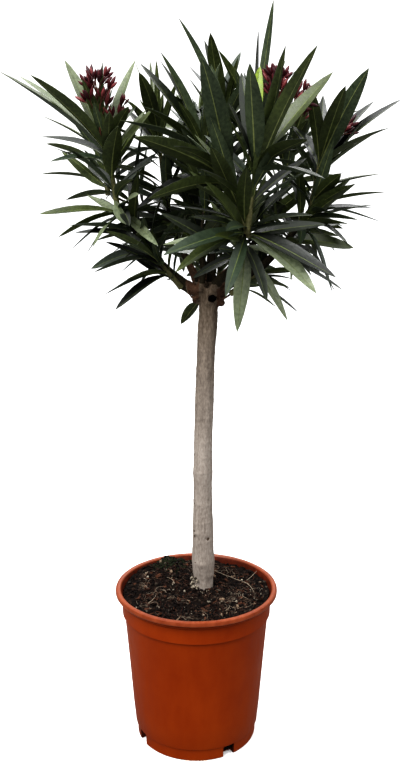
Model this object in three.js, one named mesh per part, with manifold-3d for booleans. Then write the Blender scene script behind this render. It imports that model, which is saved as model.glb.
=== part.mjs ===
// Potted oleander: a bare-stemmed standard tree in a plastic nursery pot.
// Millimetres, +Z up, the viewer's side is -Y. The origin is the middle of the pot's flat underside.

import * as THREE from "three";
import { mergeVertices } from "three/addons/utils/BufferGeometryUtils.js";
import Module from "manifold-3d";

const wasm = await Module();
wasm.setup();

// ---- Driving sizes ----

// Clear gap between neighbours that would touch, and the size under which a cut's slivers go.
const GAP = 0.3;
const SLIVER = 0.01;

// The pot: a tapered wall, a deeper band at the top and a rolled lip.
const POT_HEIGHT = 214;
const POT_LIP_RADIUS = 109.5;
const POT_LIP_INNER_RADIUS = 103;
const POT_LIP_DEPTH = 7;
const POT_BEAD_RADIUS = 105;
const POT_BAND_RADIUS = 101;
const POT_BAND_BOTTOM = 179;
const POT_WALL_TOP_RADIUS = 97.5;
const POT_WALL_FOOT_RADIUS = 84;
const POT_FOOT_RADIUS = 78;
const POT_LEDGE_HEIGHT = 18;
const POT_WALL = 2;
const POT_FLOOR = 3;
const POT_SIDES = 40;

// Four drain notches in the pot's lower corner, by bearing.
const NOTCH_BEARINGS = [-58, 30, 120, 208];
const NOTCH_WIDTH = 17;
const NOTCH_HEIGHT = 16;
const NOTCH_DEPTH = 11;

// The soil: its usual level, and the mound at the back left.
const SOIL_LEVEL = 206;
const SOIL_MOUND_HEIGHT = 8;
const SOIL_MOUND_AT = [-58, 42];
const SOIL_MOUND_SPREAD = 34;
const SOIL_RINGS = 4;
const SOIL_SIDES = 20;
const SOIL_EDGE_RADIUS = 97.6;

// The trunk, from its flat foot on the soil to the knob at its fork.
const TRUNK_LINE = [
  [10, 13, SOIL_LEVEL + GAP],
  [9, 10, 300],
  [9, 7, 380],
  [11, 4, 480],
  [14, 1, 560],
  [16, 0, 605],
  [15, 1, 632],
];
// Just above the soil it is tucked in, and over that it swells to its root flare.
const TRUNK_FOOT_RADIUS = 14;
const TRUNK_TOP_RADIUS = 12.8;
const TRUNK_TUCK = 1.6;
const TRUNK_TUCK_REACH = 0.02;
const TRUNK_FLARE = 1.8;
const TRUNK_FLARE_AT = 0.065;
const TRUNK_FLARE_REACH = 0.055;
const TRUNK_KNOB = 3.5;
const TRUNK_KNOB_FROM = 0.9;
const TRUNK_KNOB_TO = 1.15;
const TRUNK_CROWN_FROM = 0.995;
const TRUNK_CROWN = 0.62;
const TRUNK_SIDES = 14;
const TRUNK_STEPS = 16;

// Boughs: the line each follows, and its radius at both ends.
const BOUGHS = {
  left: { line: [[2, -3, 611], [-30, -8, 636], [-69, -12, 680], [-99, -15, 728]], radii: [9, 5] },
  right: { line: [[27, -3, 614], [80, -9, 645], [127, -12, 696], [144, -11, 726]], radii: [9, 5] },
  front: { line: [[19, -6, 618], [46, -52, 652], [60, -108, 704]], radii: [7.5, 4.5] },
  centre: { line: [[17, 5, 624], [22, 26, 690], [29, 44, 745], [31, 46, 785]], radii: [6.5, 4] },
  back_left: { line: [[7, 8, 616], [-16, 26, 660], [-36, 44, 712], [-41, 50, 746]], radii: [6, 4] },
  back: { line: [[12, 12, 618], [8, 64, 652], [8, 112, 706], [12, 130, 756]], radii: [7, 4] },
  far_left: { line: [[-30, 39, 692], [-66, 62, 716], [-106, 86, 728], [-121, 93, 744]], radii: [4, 3.4] },
  back_right: { line: [[24, 8, 618], [66, 48, 660], [108, 92, 712], [120, 110, 752]], radii: [7, 4] },
  high_right: { line: [[26, 36, 712], [50, 40, 742], [70, 40, 785]], radii: [3.5, 3] },
  mid_left: { line: [[11, -3, 624], [6, -6, 680], [13, -1, 738]], radii: [4.5, 3.2] },
  low_left: { line: [[2, -8, 606], [-12, -13, 616], [-24, -16, 628]], radii: [3.2, 2.6] },
  low_right: { line: [[29, -6, 604], [39, -9, 609], [50, -11, 618]], radii: [3.2, 2.6] },
  low_back: { line: [[18, 10, 602], [26, 34, 612], [30, 52, 626]], radii: [3.6, 2.8] },
};
const BOUGH_COLLAR = 2.5;
const BOUGH_COLLAR_REACH = 0.11;
const BOUGH_SIDES = 6;
const BOUGH_STEPS = 6;

// Leaf blades in the solids: half width and half thickness at the broadest place.
const BLADE_HALF_WIDTH = 13;
const BLADE_HALF_THICKNESS = 4;
const BLADE_SAG = 0.09;
const BLADE_PROFILE = [[0.26, 0.16], [1, 0.5]];

// Foliage: each mass surrounds one leafy stem from foot to tip. Its core is `spread` thick
// and runs on past the tip by `beyond` stem lengths. Leading leaves, as [bearing, rise, reach],
// set the crown's outline, and `fill` more stand round the stem, `fillReach` long. They are
// aimed from the HEART of the stem, and their roots stand off it by ROOT of the spread.
const HEART = 0.4;
const ROOT = 0.5;
const MASSES = {
  left: {
    foot: [-102, -15, 734],
    tip: [-112, -25, 805],
    spread: 27,
    beyond: 0.6,
    leads: [
      [-163, 42, 165], [180, 47, 150], [-141, 46, 145], [165, 68, 140], [-95, 80, 125], [25, 74, 135],
      [-68, 39, 110], [65, 48, 110], [150, 23, 110], [-128, 6, 95],
    ],
    fill: 2,
    fillReach: 95,
  },
  right: {
    foot: [146, -11, 728],
    tip: [153, -15, 782],
    spread: 25,
    beyond: 0.6,
    leads: [
      [-58, 56, 150], [-76, 54, 130], [19, 42, 150], [-54, 28, 125], [77, 72, 110], [32, 49, 130],
      [107, 40, 110],
    ],
    fill: 3,
    fillReach: 100,
  },
  front_right: {
    foot: [66, -112, 718],
    tip: [72, -116, 784],
    spread: 22,
    beyond: 0.6,
    leads: [
      [-100, 57, 145], [21, 54, 155], [-29, 65, 160], [-48, 75, 150], [-110, 84, 115], [-70, 21, 130],
      [-61, 4, 125], [107, 66, 140],
    ],
    fill: 2,
    fillReach: 95,
  },
  front_left: {
    foot: [54, -108, 724],
    tip: [36, -100, 772],
    spread: 20,
    beyond: 0.7,
    leads: [[-120, 58, 155], [-149, 75, 135], [-147, 22, 140], [-133, 23, 110], [-144, -5, 120]],
    fill: 2,
    fillReach: 90,
  },
  front_skirt: {
    foot: [60, -110, 706],
    tip: [50, -66, 662],
    spread: 16,
    beyond: 0.1,
    leads: [
      [-44, -16, 135], [-45, -28, 120], [-134, -6, 130], [-138, -18, 110], [-105, -32, 110],
      [-115, -80, 110],
    ],
    fill: 1,
    fillReach: 85,
  },
  centre: {
    foot: [31, 46, 789],
    tip: [33, 50, 845],
    spread: 20,
    beyond: 0.6,
    leads: [[161, 68, 150], [127, 73, 120], [-102, 57, 130], [64, 60, 120], [128, 52, 110]],
    fill: 4,
    fillReach: 95,
  },
  high_right: {
    foot: [72, 40, 790],
    tip: [76, 44, 835],
    spread: 18,
    beyond: 0.6,
    leads: [[-43, 80, 160], [76, 81, 130], [71, 67, 120]],
    fill: 5,
    fillReach: 100,
  },
  left_skirt: {
    foot: [-104, -14, 724],
    tip: [-62, -12, 676],
    spread: 15,
    beyond: 0.1,
    leads: [
      [-165, 4, 105], [-143, -11, 95], [149, -25, 95], [-116, -21, 80], [135, 21, 80], [-82, -3, 85],
      [-57, -19, 85],
    ],
    fill: 1,
    fillReach: 80,
  },
  right_skirt: {
    foot: [144, -10, 720],
    tip: [108, -10, 668],
    spread: 15,
    beyond: 0.1,
    leads: [
      [6, 42, 85], [-40, 33, 90], [15, 13, 100], [-49, 5, 90], [41, -4, 80], [-58, -12, 90],
      [47, -27, 85], [61, -49, 90], [-62, -48, 105],
    ],
    fill: 0,
    fillReach: 80,
  },
  mid_left: {
    foot: [13, -1, 742],
    tip: [9, 0, 800],
    spread: 22,
    beyond: 0.6,
    leads: [
      [166, 57, 150], [162, 66, 140], [-166, 68, 145], [-132, 33, 125], [-138, 22, 140], [170, -31, 115],
    ],
    fill: 3,
    fillReach: 95,
  },
  low_left: {
    foot: [-24, -16, 628],
    tip: [-46, -26, 656],
    spread: 11,
    beyond: 0.4,
    leads: [[-149, -13, 90], [-149, -28, 85], [-176, 12, 62], [146, 8, 50]],
    fill: 2,
    fillReach: 65,
  },
  low_right: {
    foot: [51, -11, 619],
    tip: [82, -10, 642],
    spread: 10,
    beyond: 0.3,
    leads: [[-32, -25, 80], [-58, -20, 60], [47, -13, 55]],
    fill: 2,
    fillReach: 60,
  },
  back_left: {
    foot: [-41, 50, 750],
    tip: [-49, 60, 822],
    spread: 25,
    beyond: 0.6,
    leads: [
      [129, 65, 140], [-105, 48, 130], [116, 74, 130], [-103, 80, 120], [133, -14, 110], [123, 0, 110],
    ],
    fill: 4,
    fillReach: 100,
  },
  back_right: {
    foot: [120, 111, 756],
    tip: [129, 120, 805],
    spread: 25,
    beyond: 0.6,
    leads: [[55, 22, 130], [45, 9, 130], [106, 31, 120], [62, 51, 120], [10, 35, 120]],
    fill: 5,
    fillReach: 105,
  },
  back: {
    foot: [12, 131, 760],
    tip: [12, 140, 828],
    spread: 27,
    beyond: 0.6,
    leads: [[131, 20, 130], [116, 42, 130], [49, 41, 130], [90, 60, 120], [90, 12, 110]],
    fill: 5,
    fillReach: 105,
  },
  far_left: {
    foot: [-122, 94, 748],
    tip: [-130, 104, 806],
    spread: 24,
    beyond: 0.6,
    leads: [[168, 38, 105], [100, 20, 125], [75, 50, 120], [125, 62, 110], [90, -8, 100], [55, 12, 100]],
    fill: 3,
    fillReach: 85,
  },
  inner_left: {
    foot: [-14, 24, 660],
    tip: [-38, 46, 726],
    spread: 15,
    beyond: 0.1,
    leads: [[170, -6, 110], [150, 16, 110], [-150, 4, 100], [-120, -6, 95], [100, 0, 110], [-170, -34, 90]],
    fill: 1,
    fillReach: 80,
  },
  inner_right: {
    foot: [62, 45, 656],
    tip: [104, 88, 706],
    spread: 15,
    beyond: 0.1,
    leads: [[2, 2, 110], [-30, 16, 100], [32, -14, 105], [-62, 0, 90], [-12, -26, 95], [70, -12, 105]],
    fill: 1,
    fillReach: 80,
  },
  inner_centre: {
    foot: [22, 26, 684],
    tip: [29, 44, 748],
    spread: 14,
    beyond: 0.1,
    leads: [[-150, 20, 100], [-40, 12, 100], [-90, 28, 90], [155, -8, 100], [28, -10, 100]],
    fill: 1,
    fillReach: 80,
  },
  back_skirt: {
    foot: [9, 118, 716],
    tip: [8, 72, 662],
    spread: 16,
    beyond: 0.1,
    leads: [[60, -8, 125], [120, -12, 125], [165, -20, 115], [20, -22, 115], [90, -40, 100]],
    fill: 2,
    fillReach: 85,
  },
  low_back: {
    foot: [31, 54, 628],
    tip: [34, 84, 662],
    spread: 13,
    beyond: 0.3,
    leads: [[70, -12, 95], [15, -8, 90], [125, -15, 85]],
    fill: 2,
    fillReach: 75,
  },
};

// ---- Solids from geometry, and back ----

// A closed geometry as a solid: vertices at one place are made one, and flat triangles dropped.
function solidOf(geometry) {
  const bare = geometry.clone();
  bare.deleteAttribute("normal");
  bare.deleteAttribute("uv");
  const merged = mergeVertices(bare, 1e-4);
  const corners = merged.index.array;
  const kept = [];
  for (let i = 0; i < corners.length; i += 3) {
    const [a, b, c] = [corners[i], corners[i + 1], corners[i + 2]];
    if (a !== b && b !== c && c !== a) kept.push(a, b, c);
  }
  return new wasm.Manifold(new wasm.Mesh({
    numProp: 3,
    vertProperties: Float32Array.from(merged.attributes.position.array),
    triVerts: Uint32Array.from(kept),
  }));
}

// A solid's faces as a flat-shaded geometry.
function geometryOf(solid) {
  const mesh = solid.getMesh();
  const geometry = new THREE.BufferGeometry();
  geometry.setAttribute("position", new THREE.BufferAttribute(Float32Array.from(mesh.vertProperties), 3));
  geometry.setIndex(new THREE.BufferAttribute(Uint32Array.from(mesh.triVerts), 1));
  geometry.computeVertexNormals();
  return geometry;
}

// The largest separate body of a solid.
function largest(solid) {
  const bodies = solid.decompose();
  return bodies.reduce((best, body) => (body.volume() > best.volume() ? body : best));
}

function union(solids) {
  return solids.reduce((whole, solid) => whole.add(solid));
}

// ---- Shared shape rules ----

const UP = new THREE.Vector3(0, 0, 1);

function vector([x, y, z]) {
  return new THREE.Vector3(x, y, z);
}

// A repeatable number from 0 to 1 for each seed.
function chance(seed) {
  const value = Math.sin(seed * 127.1 + 311.7) * 43758.5453;
  return value - Math.floor(value);
}

// A unit direction from a bearing (counted from +X towards +Y) and a rise above level, in degrees.
function direction(bearing, rise) {
  const turn = THREE.MathUtils.degToRad(bearing);
  const lift = THREE.MathUtils.degToRad(rise);
  return new THREE.Vector3(
    Math.cos(lift) * Math.cos(turn),
    Math.cos(lift) * Math.sin(turn),
    Math.sin(lift),
  );
}

// Two directions square to an axis: `side` is level, `above` points upwards.
function crossAxes(axis) {
  const side = new THREE.Vector3().crossVectors(axis, UP);
  if (side.length() < 0.05) side.set(1, 0, 0);
  side.normalize();
  const above = new THREE.Vector3().crossVectors(side, axis).normalize();
  return { side, above };
}

// Bends a shape that stands along Y from 0 to 1 onto a curve, scaled across it. Both ends
// are pushed out by `grow`, in line with the stretch that leads to each.
function alongCurve(geometry, curve, sideScale, aboveScale, grow) {
  const place = geometry.attributes.position;
  const { side, above } = crossAxes(curve.getPoint(1).sub(curve.getPoint(0)).normalize());
  const levels = Array.from({ length: place.count }, (_, i) => THREE.MathUtils.clamp(place.getY(i), 0, 1));
  const between = levels.filter((t) => t > 0.01 && t < 0.99);
  const outOfFoot = curve.getPoint(0).sub(curve.getPoint(Math.min(...between))).normalize();
  const outOfTip = curve.getPoint(1).sub(curve.getPoint(Math.max(...between))).normalize();
  for (let i = 0; i < place.count; i += 1) {
    const t = levels[i];
    const point = curve.getPoint(t)
      .addScaledVector(outOfFoot, t === 0 ? grow : 0)
      .addScaledVector(outOfTip, t === 1 ? grow : 0)
      .addScaledVector(side, place.getX(i) * sideScale(t))
      .addScaledVector(above, place.getZ(i) * aboveScale(t));
    place.setXYZ(i, point.x, point.y, point.z);
  }
  return geometry;
}

// A round limb along a curve.
function limb(line, radiusAt, sides, steps, grow) {
  const curve = new THREE.CatmullRomCurve3(line.map(vector));
  const geometry = new THREE.CylinderGeometry(1, 1, 1, sides, steps);
  geometry.translate(0, 0.5, 0);
  const grown = (t) => radiusAt(t) + grow;
  return solidOf(alongCurve(geometry, curve, grown, grown, grow));
}

// ---- Pot ----

function potProfile() {
  const inner = (radius) => radius - POT_WALL;
  const outside = [
    [0, 0],
    [POT_FOOT_RADIUS, 0],
    [POT_WALL_FOOT_RADIUS - 2, 11],
    [POT_WALL_FOOT_RADIUS - 1, POT_LEDGE_HEIGHT - 1],
    [POT_WALL_FOOT_RADIUS, POT_LEDGE_HEIGHT],
    [POT_WALL_FOOT_RADIUS + 3.5, 50],
    [POT_WALL_FOOT_RADIUS + 8, 110],
    [POT_WALL_TOP_RADIUS, POT_BAND_BOTTOM],
    [POT_BAND_RADIUS - 0.5, POT_BAND_BOTTOM],
    [POT_BAND_RADIUS, 204],
    [POT_BEAD_RADIUS, 204.5],
    [POT_BEAD_RADIUS, POT_HEIGHT - POT_LIP_DEPTH],
    [POT_LIP_RADIUS, POT_HEIGHT - POT_LIP_DEPTH + 0.5],
    [POT_LIP_RADIUS, POT_HEIGHT - 2],
    [POT_LIP_RADIUS - 2, POT_HEIGHT],
  ];
  const inside = [
    [POT_LIP_INNER_RADIUS, POT_HEIGHT],
    [inner(POT_BAND_RADIUS), POT_HEIGHT - 4],
    [inner(POT_WALL_TOP_RADIUS), POT_BAND_BOTTOM - 2],
    [inner(POT_WALL_FOOT_RADIUS), POT_LEDGE_HEIGHT],
    [inner(POT_FOOT_RADIUS + 1), POT_FLOOR],
    [0, POT_FLOOR],
  ];
  return { outside, inside };
}

function makePot() {
  const { outside, inside } = potProfile();
  const points = [...outside, ...inside].map(([radius, height]) => new THREE.Vector2(radius, height));
  const shell = new THREE.LatheGeometry(points, POT_SIDES).rotateX(Math.PI / 2);
  const notches = NOTCH_BEARINGS.map((bearing) => {
    const cutter = new THREE.BoxGeometry(2 * NOTCH_DEPTH, NOTCH_WIDTH, 2 * NOTCH_HEIGHT);
    cutter.translate(POT_WALL_FOOT_RADIUS, 0, 0);
    cutter.rotateZ(THREE.MathUtils.degToRad(bearing));
    return solidOf(cutter);
  });
  return solidOf(shell).subtract(union(notches));
}

// ---- Soil ----

// The soil's level at a place: uneven, and heaped at the back left.
function soilLevel(x, y) {
  const away = Math.hypot(x - SOIL_MOUND_AT[0], y - SOIL_MOUND_AT[1]);
  const mound = SOIL_MOUND_HEIGHT * Math.exp(-((away / SOIL_MOUND_SPREAD) ** 2));
  const ripple = 1.4 * Math.sin(x * 0.09 + 1) * Math.cos(y * 0.11) + 0.8 * Math.sin(x * 0.21 - y * 0.17);
  return SOIL_LEVEL + mound + ripple;
}

function makeSoil(trunk) {
  const { inside } = potProfile();
  const wall = inside.slice(1, -1).reverse().map(([radius, height]) => [radius - GAP, height]);
  wall[0][1] += GAP;
  wall[wall.length - 1] = [SOIL_EDGE_RADIUS, SOIL_LEVEL];
  const points = [new THREE.Vector2(0, wall[0][1]), ...wall.map(([r, z]) => new THREE.Vector2(r, z))];
  for (let ring = SOIL_RINGS - 1; ring >= 0; ring -= 1) {
    points.push(new THREE.Vector2((SOIL_EDGE_RADIUS * ring) / SOIL_RINGS, SOIL_LEVEL));
  }
  const plug = new THREE.LatheGeometry(points, SOIL_SIDES).rotateX(Math.PI / 2);
  const place = plug.attributes.position;
  for (let i = 0; i < place.count; i += 1) {
    if (Math.abs(place.getZ(i) - SOIL_LEVEL) < 0.01) {
      place.setZ(i, soilLevel(place.getX(i), place.getY(i)));
    }
  }
  return solidOf(plug).subtract(trunk);
}

// ---- Trunk and boughs ----

function makeTrunk(grow) {
  const radiusAt = (t) => {
    const taper = THREE.MathUtils.lerp(TRUNK_FOOT_RADIUS, TRUNK_TOP_RADIUS, t);
    const tuck = TRUNK_TUCK * Math.exp(-t / TRUNK_TUCK_REACH);
    const flare = TRUNK_FLARE * Math.exp(-(((t - TRUNK_FLARE_AT) / TRUNK_FLARE_REACH) ** 2));
    const share = Math.max(t - TRUNK_KNOB_FROM, 0) / (TRUNK_KNOB_TO - TRUNK_KNOB_FROM);
    const knob = TRUNK_KNOB * Math.sin(Math.PI * share);
    const crown = t > TRUNK_CROWN_FROM ? TRUNK_CROWN : 1;
    return (taper - tuck + flare + knob) * crown;
  };
  return limb(TRUNK_LINE, radiusAt, TRUNK_SIDES, TRUNK_STEPS, grow);
}

function makeBough({ line, radii }, grow) {
  const radiusAt = (t) => THREE.MathUtils.lerp(radii[0], radii[1], t) + BOUGH_COLLAR * Math.exp(-t / BOUGH_COLLAR_REACH);
  return limb(line, radiusAt, BOUGH_SIDES, BOUGH_STEPS, grow);
}

// ---- Foliage ----

// One blade: a flat spindle that arches from its foot to its tip.
function makeBlade(from, to, grow) {
  const reach = from.distanceTo(to);
  const middle = from.clone().lerp(to, 0.5);
  middle.z += reach * BLADE_SAG * 2 * (1 - Math.abs(to.z - from.z) / reach);
  const curve = new THREE.QuadraticBezierCurve3(from, middle, to);
  const profile = [[0, 0], ...BLADE_PROFILE, [0, 1]].map(([r, t]) => new THREE.Vector2(r, t));
  const spindle = new THREE.LatheGeometry(profile, 3);
  return solidOf(alongCurve(
    spindle,
    curve,
    () => BLADE_HALF_WIDTH + grow * 4,
    () => BLADE_HALF_THICKNESS + grow * 4,
    grow * 6,
  ));
}

// Where a mass's blades start and end: the leading ones, then those that fill round the stem.
function bladeEnds({ foot, tip, spread, leads, fill, fillReach }, seed) {
  const base = vector(foot);
  const stem = vector(tip).sub(base);
  const heart = base.clone().addScaledVector(stem, HEART);
  const ends = leads.map(([bearing, rise, reach]) => {
    const level = THREE.MathUtils.clamp((rise + 60) / 150, 0.35, 0.8);
    const towards = direction(bearing, rise);
    return {
      from: base.clone().addScaledVector(stem, level).addScaledVector(towards, spread * ROOT),
      to: heart.clone().addScaledVector(towards, reach),
    };
  });
  for (let n = 0; n < fill; n += 1) {
    const bearing = seed * 77 + n * 137.5;
    const rise = 12 + 50 * chance(seed * 13 + n);
    const reach = fillReach * (0.85 + 0.15 * chance(seed * 29 + n));
    const towards = direction(bearing, rise);
    ends.push({
      from: heart.clone().addScaledVector(towards, spread * ROOT),
      to: heart.clone().addScaledVector(towards, reach),
    });
  }
  return ends;
}

function makeBlades(mass, seed, grow) {
  return union(bladeEnds(mass, seed).map(({ from, to }) => makeBlade(from, to, grow)));
}

// The dense inner body round the stem: widest above the middle and uneven all round.
function makeCore({ foot, tip, spread, beyond }, seed, grow) {
  const swell = [[0.3, 0], [0.9, 0.35], [0.9, 0.75]];
  const profile = [[0, 0], ...swell, [0, 1]].map(([r, t]) => new THREE.Vector2(r, t));
  const body = new THREE.LatheGeometry(profile, 6);
  const base = vector(foot);
  const stem = vector(tip).sub(base);
  const end = base.clone().addScaledVector(stem, 1 + beyond);
  const start = base.clone().addScaledVector(stem, 0.04);
  const curve = new THREE.LineCurve3(start, end);
  const uneven = (t) => spread * (0.85 + 0.3 * chance(seed + Math.round(t * 20))) + grow;
  return solidOf(alongCurve(body, curve, uneven, uneven, grow));
}

// ---- Assembly ----

const material = (color, roughness) => new THREE.MeshStandardMaterial({ color, roughness, metalness: 0 });
const MATERIALS = {
  pot: material(0x9c3f1c, 0.45),
  soil: material(0x2a1f18, 0.95),
  bark: material(0x9a8b78, 0.9),
  bough: material(0x6f5a48, 0.85),
};
const LEAF_COLOURS = [0x2f3f2a, 0x3a4a30, 0x44543a, 0x36462f];

const plant = new THREE.Group();

function addNode(name, solid, look) {
  const mesh = new THREE.Mesh(geometryOf(solid), look);
  mesh.name = name;
  plant.add(mesh);
}

const grownTrunk = makeTrunk(GAP);
addNode("pot", makePot(), MATERIALS.pot);
addNode("soil", makeSoil(grownTrunk), MATERIALS.soil);
addNode("trunk", makeTrunk(0), MATERIALS.bark);

// Each bough is cut clear of the trunk and of the boughs before it.
let wood = grownTrunk;
for (const [name, bough] of Object.entries(BOUGHS)) {
  addNode(`bough_${name}`, largest(makeBough(bough, 0).subtract(wood)), MATERIALS.bough);
  wood = wood.add(makeBough(bough, GAP));
}

// A blade passes through any other mass's core, which is cut round it. Where two blades
// cross, the mass that comes first keeps its own.
const masses = Object.entries(MASSES).map(([name, mass], seed) => ({
  name,
  core: makeCore(mass, seed, 0),
  grownCore: makeCore(mass, seed, GAP),
  blades: makeBlades(mass, seed, 0),
  grownBlades: makeBlades(mass, seed, GAP),
}));
masses.forEach(({ name, core, blades }, index) => {
  const earlier = masses.slice(0, index);
  const others = masses.filter((_, other) => other !== index);
  const body = [...earlier.map((mass) => mass.grownCore), ...others.map((mass) => mass.grownBlades)]
    .reduce((rest, cutter) => rest.subtract(cutter), core);
  const leaves = earlier.reduce((rest, mass) => rest.subtract(mass.grownBlades), blades);
  const whole = largest(body.add(leaves).subtract(wood).simplify(SLIVER));
  addNode(`foliage_${name}`, whole, material(LEAF_COLOURS[index % LEAF_COLOURS.length], 0.55));
});

export default plant;
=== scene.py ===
# %% [markdown]
# # A potted oleander
# An oleander standard is one bare stem with a small crown on top, grown in a nursery pot.
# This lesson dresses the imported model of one: pot, compost, bark, leaves and flower buds.
# The limbs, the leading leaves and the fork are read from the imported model. The rest isn't:
# the pot's outline repeats that model's sizes, and the knots and the wound, the straws and
# the moss, a few single leaves and where the flower clusters stand are fixed numbers that
# were read off one view of the plant. They don't follow the model if it changes. Every
# chance draw has a fixed seed, so each run gives the same plant.

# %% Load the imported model
import math
import random

import bmesh
import bpy
from mathutils import Matrix, Vector, noise


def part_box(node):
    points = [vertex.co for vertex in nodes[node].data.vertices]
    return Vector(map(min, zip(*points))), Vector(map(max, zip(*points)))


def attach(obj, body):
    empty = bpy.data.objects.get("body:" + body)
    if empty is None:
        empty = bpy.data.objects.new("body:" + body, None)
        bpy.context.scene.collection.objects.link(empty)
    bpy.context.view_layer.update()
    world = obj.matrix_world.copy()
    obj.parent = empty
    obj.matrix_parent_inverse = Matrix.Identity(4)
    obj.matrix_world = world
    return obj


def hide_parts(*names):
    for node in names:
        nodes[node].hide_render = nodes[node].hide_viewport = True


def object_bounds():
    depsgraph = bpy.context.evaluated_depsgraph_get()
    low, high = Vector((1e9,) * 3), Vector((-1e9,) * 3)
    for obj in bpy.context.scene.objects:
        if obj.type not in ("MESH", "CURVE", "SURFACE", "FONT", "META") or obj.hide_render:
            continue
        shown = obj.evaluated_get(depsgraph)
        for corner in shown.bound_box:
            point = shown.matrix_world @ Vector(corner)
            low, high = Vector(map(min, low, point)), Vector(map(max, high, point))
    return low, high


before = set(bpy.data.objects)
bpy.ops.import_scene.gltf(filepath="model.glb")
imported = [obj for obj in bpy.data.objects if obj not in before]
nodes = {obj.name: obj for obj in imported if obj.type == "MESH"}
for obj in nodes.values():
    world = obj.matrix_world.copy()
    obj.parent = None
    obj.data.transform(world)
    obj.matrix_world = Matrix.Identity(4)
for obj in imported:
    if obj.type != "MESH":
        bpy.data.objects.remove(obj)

CAD_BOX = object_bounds()
MM = 0.001
UP = Vector((0, 0, 1))
limb_names = sorted(name for name in nodes if name.startswith("bough_"))
mass_names = sorted(name for name in nodes if name.startswith("foliage_"))
print(f"{len(nodes)} nodes: {len(limb_names)} boughs, {len(mass_names)} masses of leaves")

# %% [markdown]
# ## Camera
# The plant is seen from the front and a little above, from a bit over a metre away. The
# camera's place is given in plant heights, so it follows the plant if its size changes.

# %% Camera
plant_height = CAD_BOX[1].z
camera_data = bpy.data.cameras.new("camera")
camera_data.lens = 42.58
camera_data.sensor_width = 36.0
camera = bpy.data.objects.new("camera", camera_data)
camera.location = (0.005, -1.1775 * plant_height, 0.7777 * plant_height)
camera.rotation_euler = (math.radians(90 - 12.5), 0, 0)
bpy.context.scene.collection.objects.link(camera)
bpy.context.scene.camera = camera
print("camera at", [round(c, 3) for c in camera.location])

# %% [markdown]
# ## Lamps
# Plant catalogues are lit softly on white. A broad lamp high in front on the left gives the
# leaves their sheen, and two weaker ones keep the right side and the back from going dull.

# %% Lamps
def add_area_light(name, place, size, power):
    data = bpy.data.lights.new(name, "AREA")
    data.size = size
    data.energy = power
    lamp = bpy.data.objects.new(name, data)
    lamp.location = place
    lamp.rotation_euler = (Vector((0, 0, 0.5)) - Vector(place)).to_track_quat("-Z", "Y").to_euler()
    bpy.context.scene.collection.objects.link(lamp)


add_area_light("key", (-1.0, -1.5, 2.2), 1.5, 56)
add_area_light("fill", (1.6, -1.1, 1.4), 1.4, 8)
add_area_light("back", (0.4, 1.6, 2.0), 1.5, 14)
bpy.context.scene.view_settings.view_transform = "Standard"
bpy.context.scene.view_settings.look = "High Contrast"

# %% [markdown]
# ## New pieces
# Each piece is shaped in a bmesh, Blender's editable mesh.

# %% Helpers for pieces
def new_object(name, bm, materials):
    mesh = bpy.data.meshes.new(name)
    bm.to_mesh(mesh)
    bm.free()
    for material in materials:
        mesh.materials.append(material)
    thing = bpy.data.objects.new(name, mesh)
    bpy.context.scene.collection.objects.link(thing)
    return thing


def new_piece(name, bm, materials, replaced=(), sharp=40):
    bm.normal_update()
    for face in bm.faces:
        face.smooth = True
    piece = new_object(name, bm, materials)
    piece.data.set_sharp_from_angle(angle=math.radians(sharp))
    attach(piece, "root")
    if replaced:
        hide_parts(*replaced)
    triangles = sum(len(polygon.vertices) - 2 for polygon in piece.data.polygons)
    print(f"{name}: {triangles} triangles")
    return piece


def baked(thing):
    """Works a thing's modifiers into a fresh bmesh and removes the thing."""
    bm = bmesh.new()
    bm.from_object(thing, bpy.context.evaluated_depsgraph_get())
    bpy.data.objects.remove(thing)
    return bm


# %% [markdown]
# ## Shader nodes in a few words
# Material trees are built often below, so one helper adds a node, sets its options and
# fills or links its inputs. Only sockets in use are looked through, because a Mix node
# keeps hidden ones with the same names.

# %% Helpers for shader nodes
def socket_of(sockets, name):
    return next(socket for socket in sockets if socket.enabled and socket.name == name)


def add_node(tree, kind, options=None, **inputs):
    node = tree.nodes.new(kind)
    for name, value in (options or {}).items():
        setattr(node, name, value)
    for name, value in inputs.items():
        socket = socket_of(node.inputs, name.replace("_", " "))
        if isinstance(value, bpy.types.NodeSocket):
            tree.links.new(value, socket)
        else:
            socket.default_value = value
    return node


def colour(red, green, blue):
    """A colour as the eye reads it, 0 to 255, as the linear values that shaders use."""
    def linear(value):
        value /= 255
        return value / 12.92 if value <= 0.04045 else ((value + 0.055) / 1.055) ** 2.4

    return (linear(red), linear(green), linear(blue), 1.0)


# %% [markdown]
# ## One group for every uneven surface
# Bark, plastic, compost and leaves all differ a little from place to place. This group
# mixes two colours by a noise and gives the noise out as well, for bumps and roughness.
# A Stretch under 1 draws the pattern out upwards, as the grain of bark is.

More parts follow.
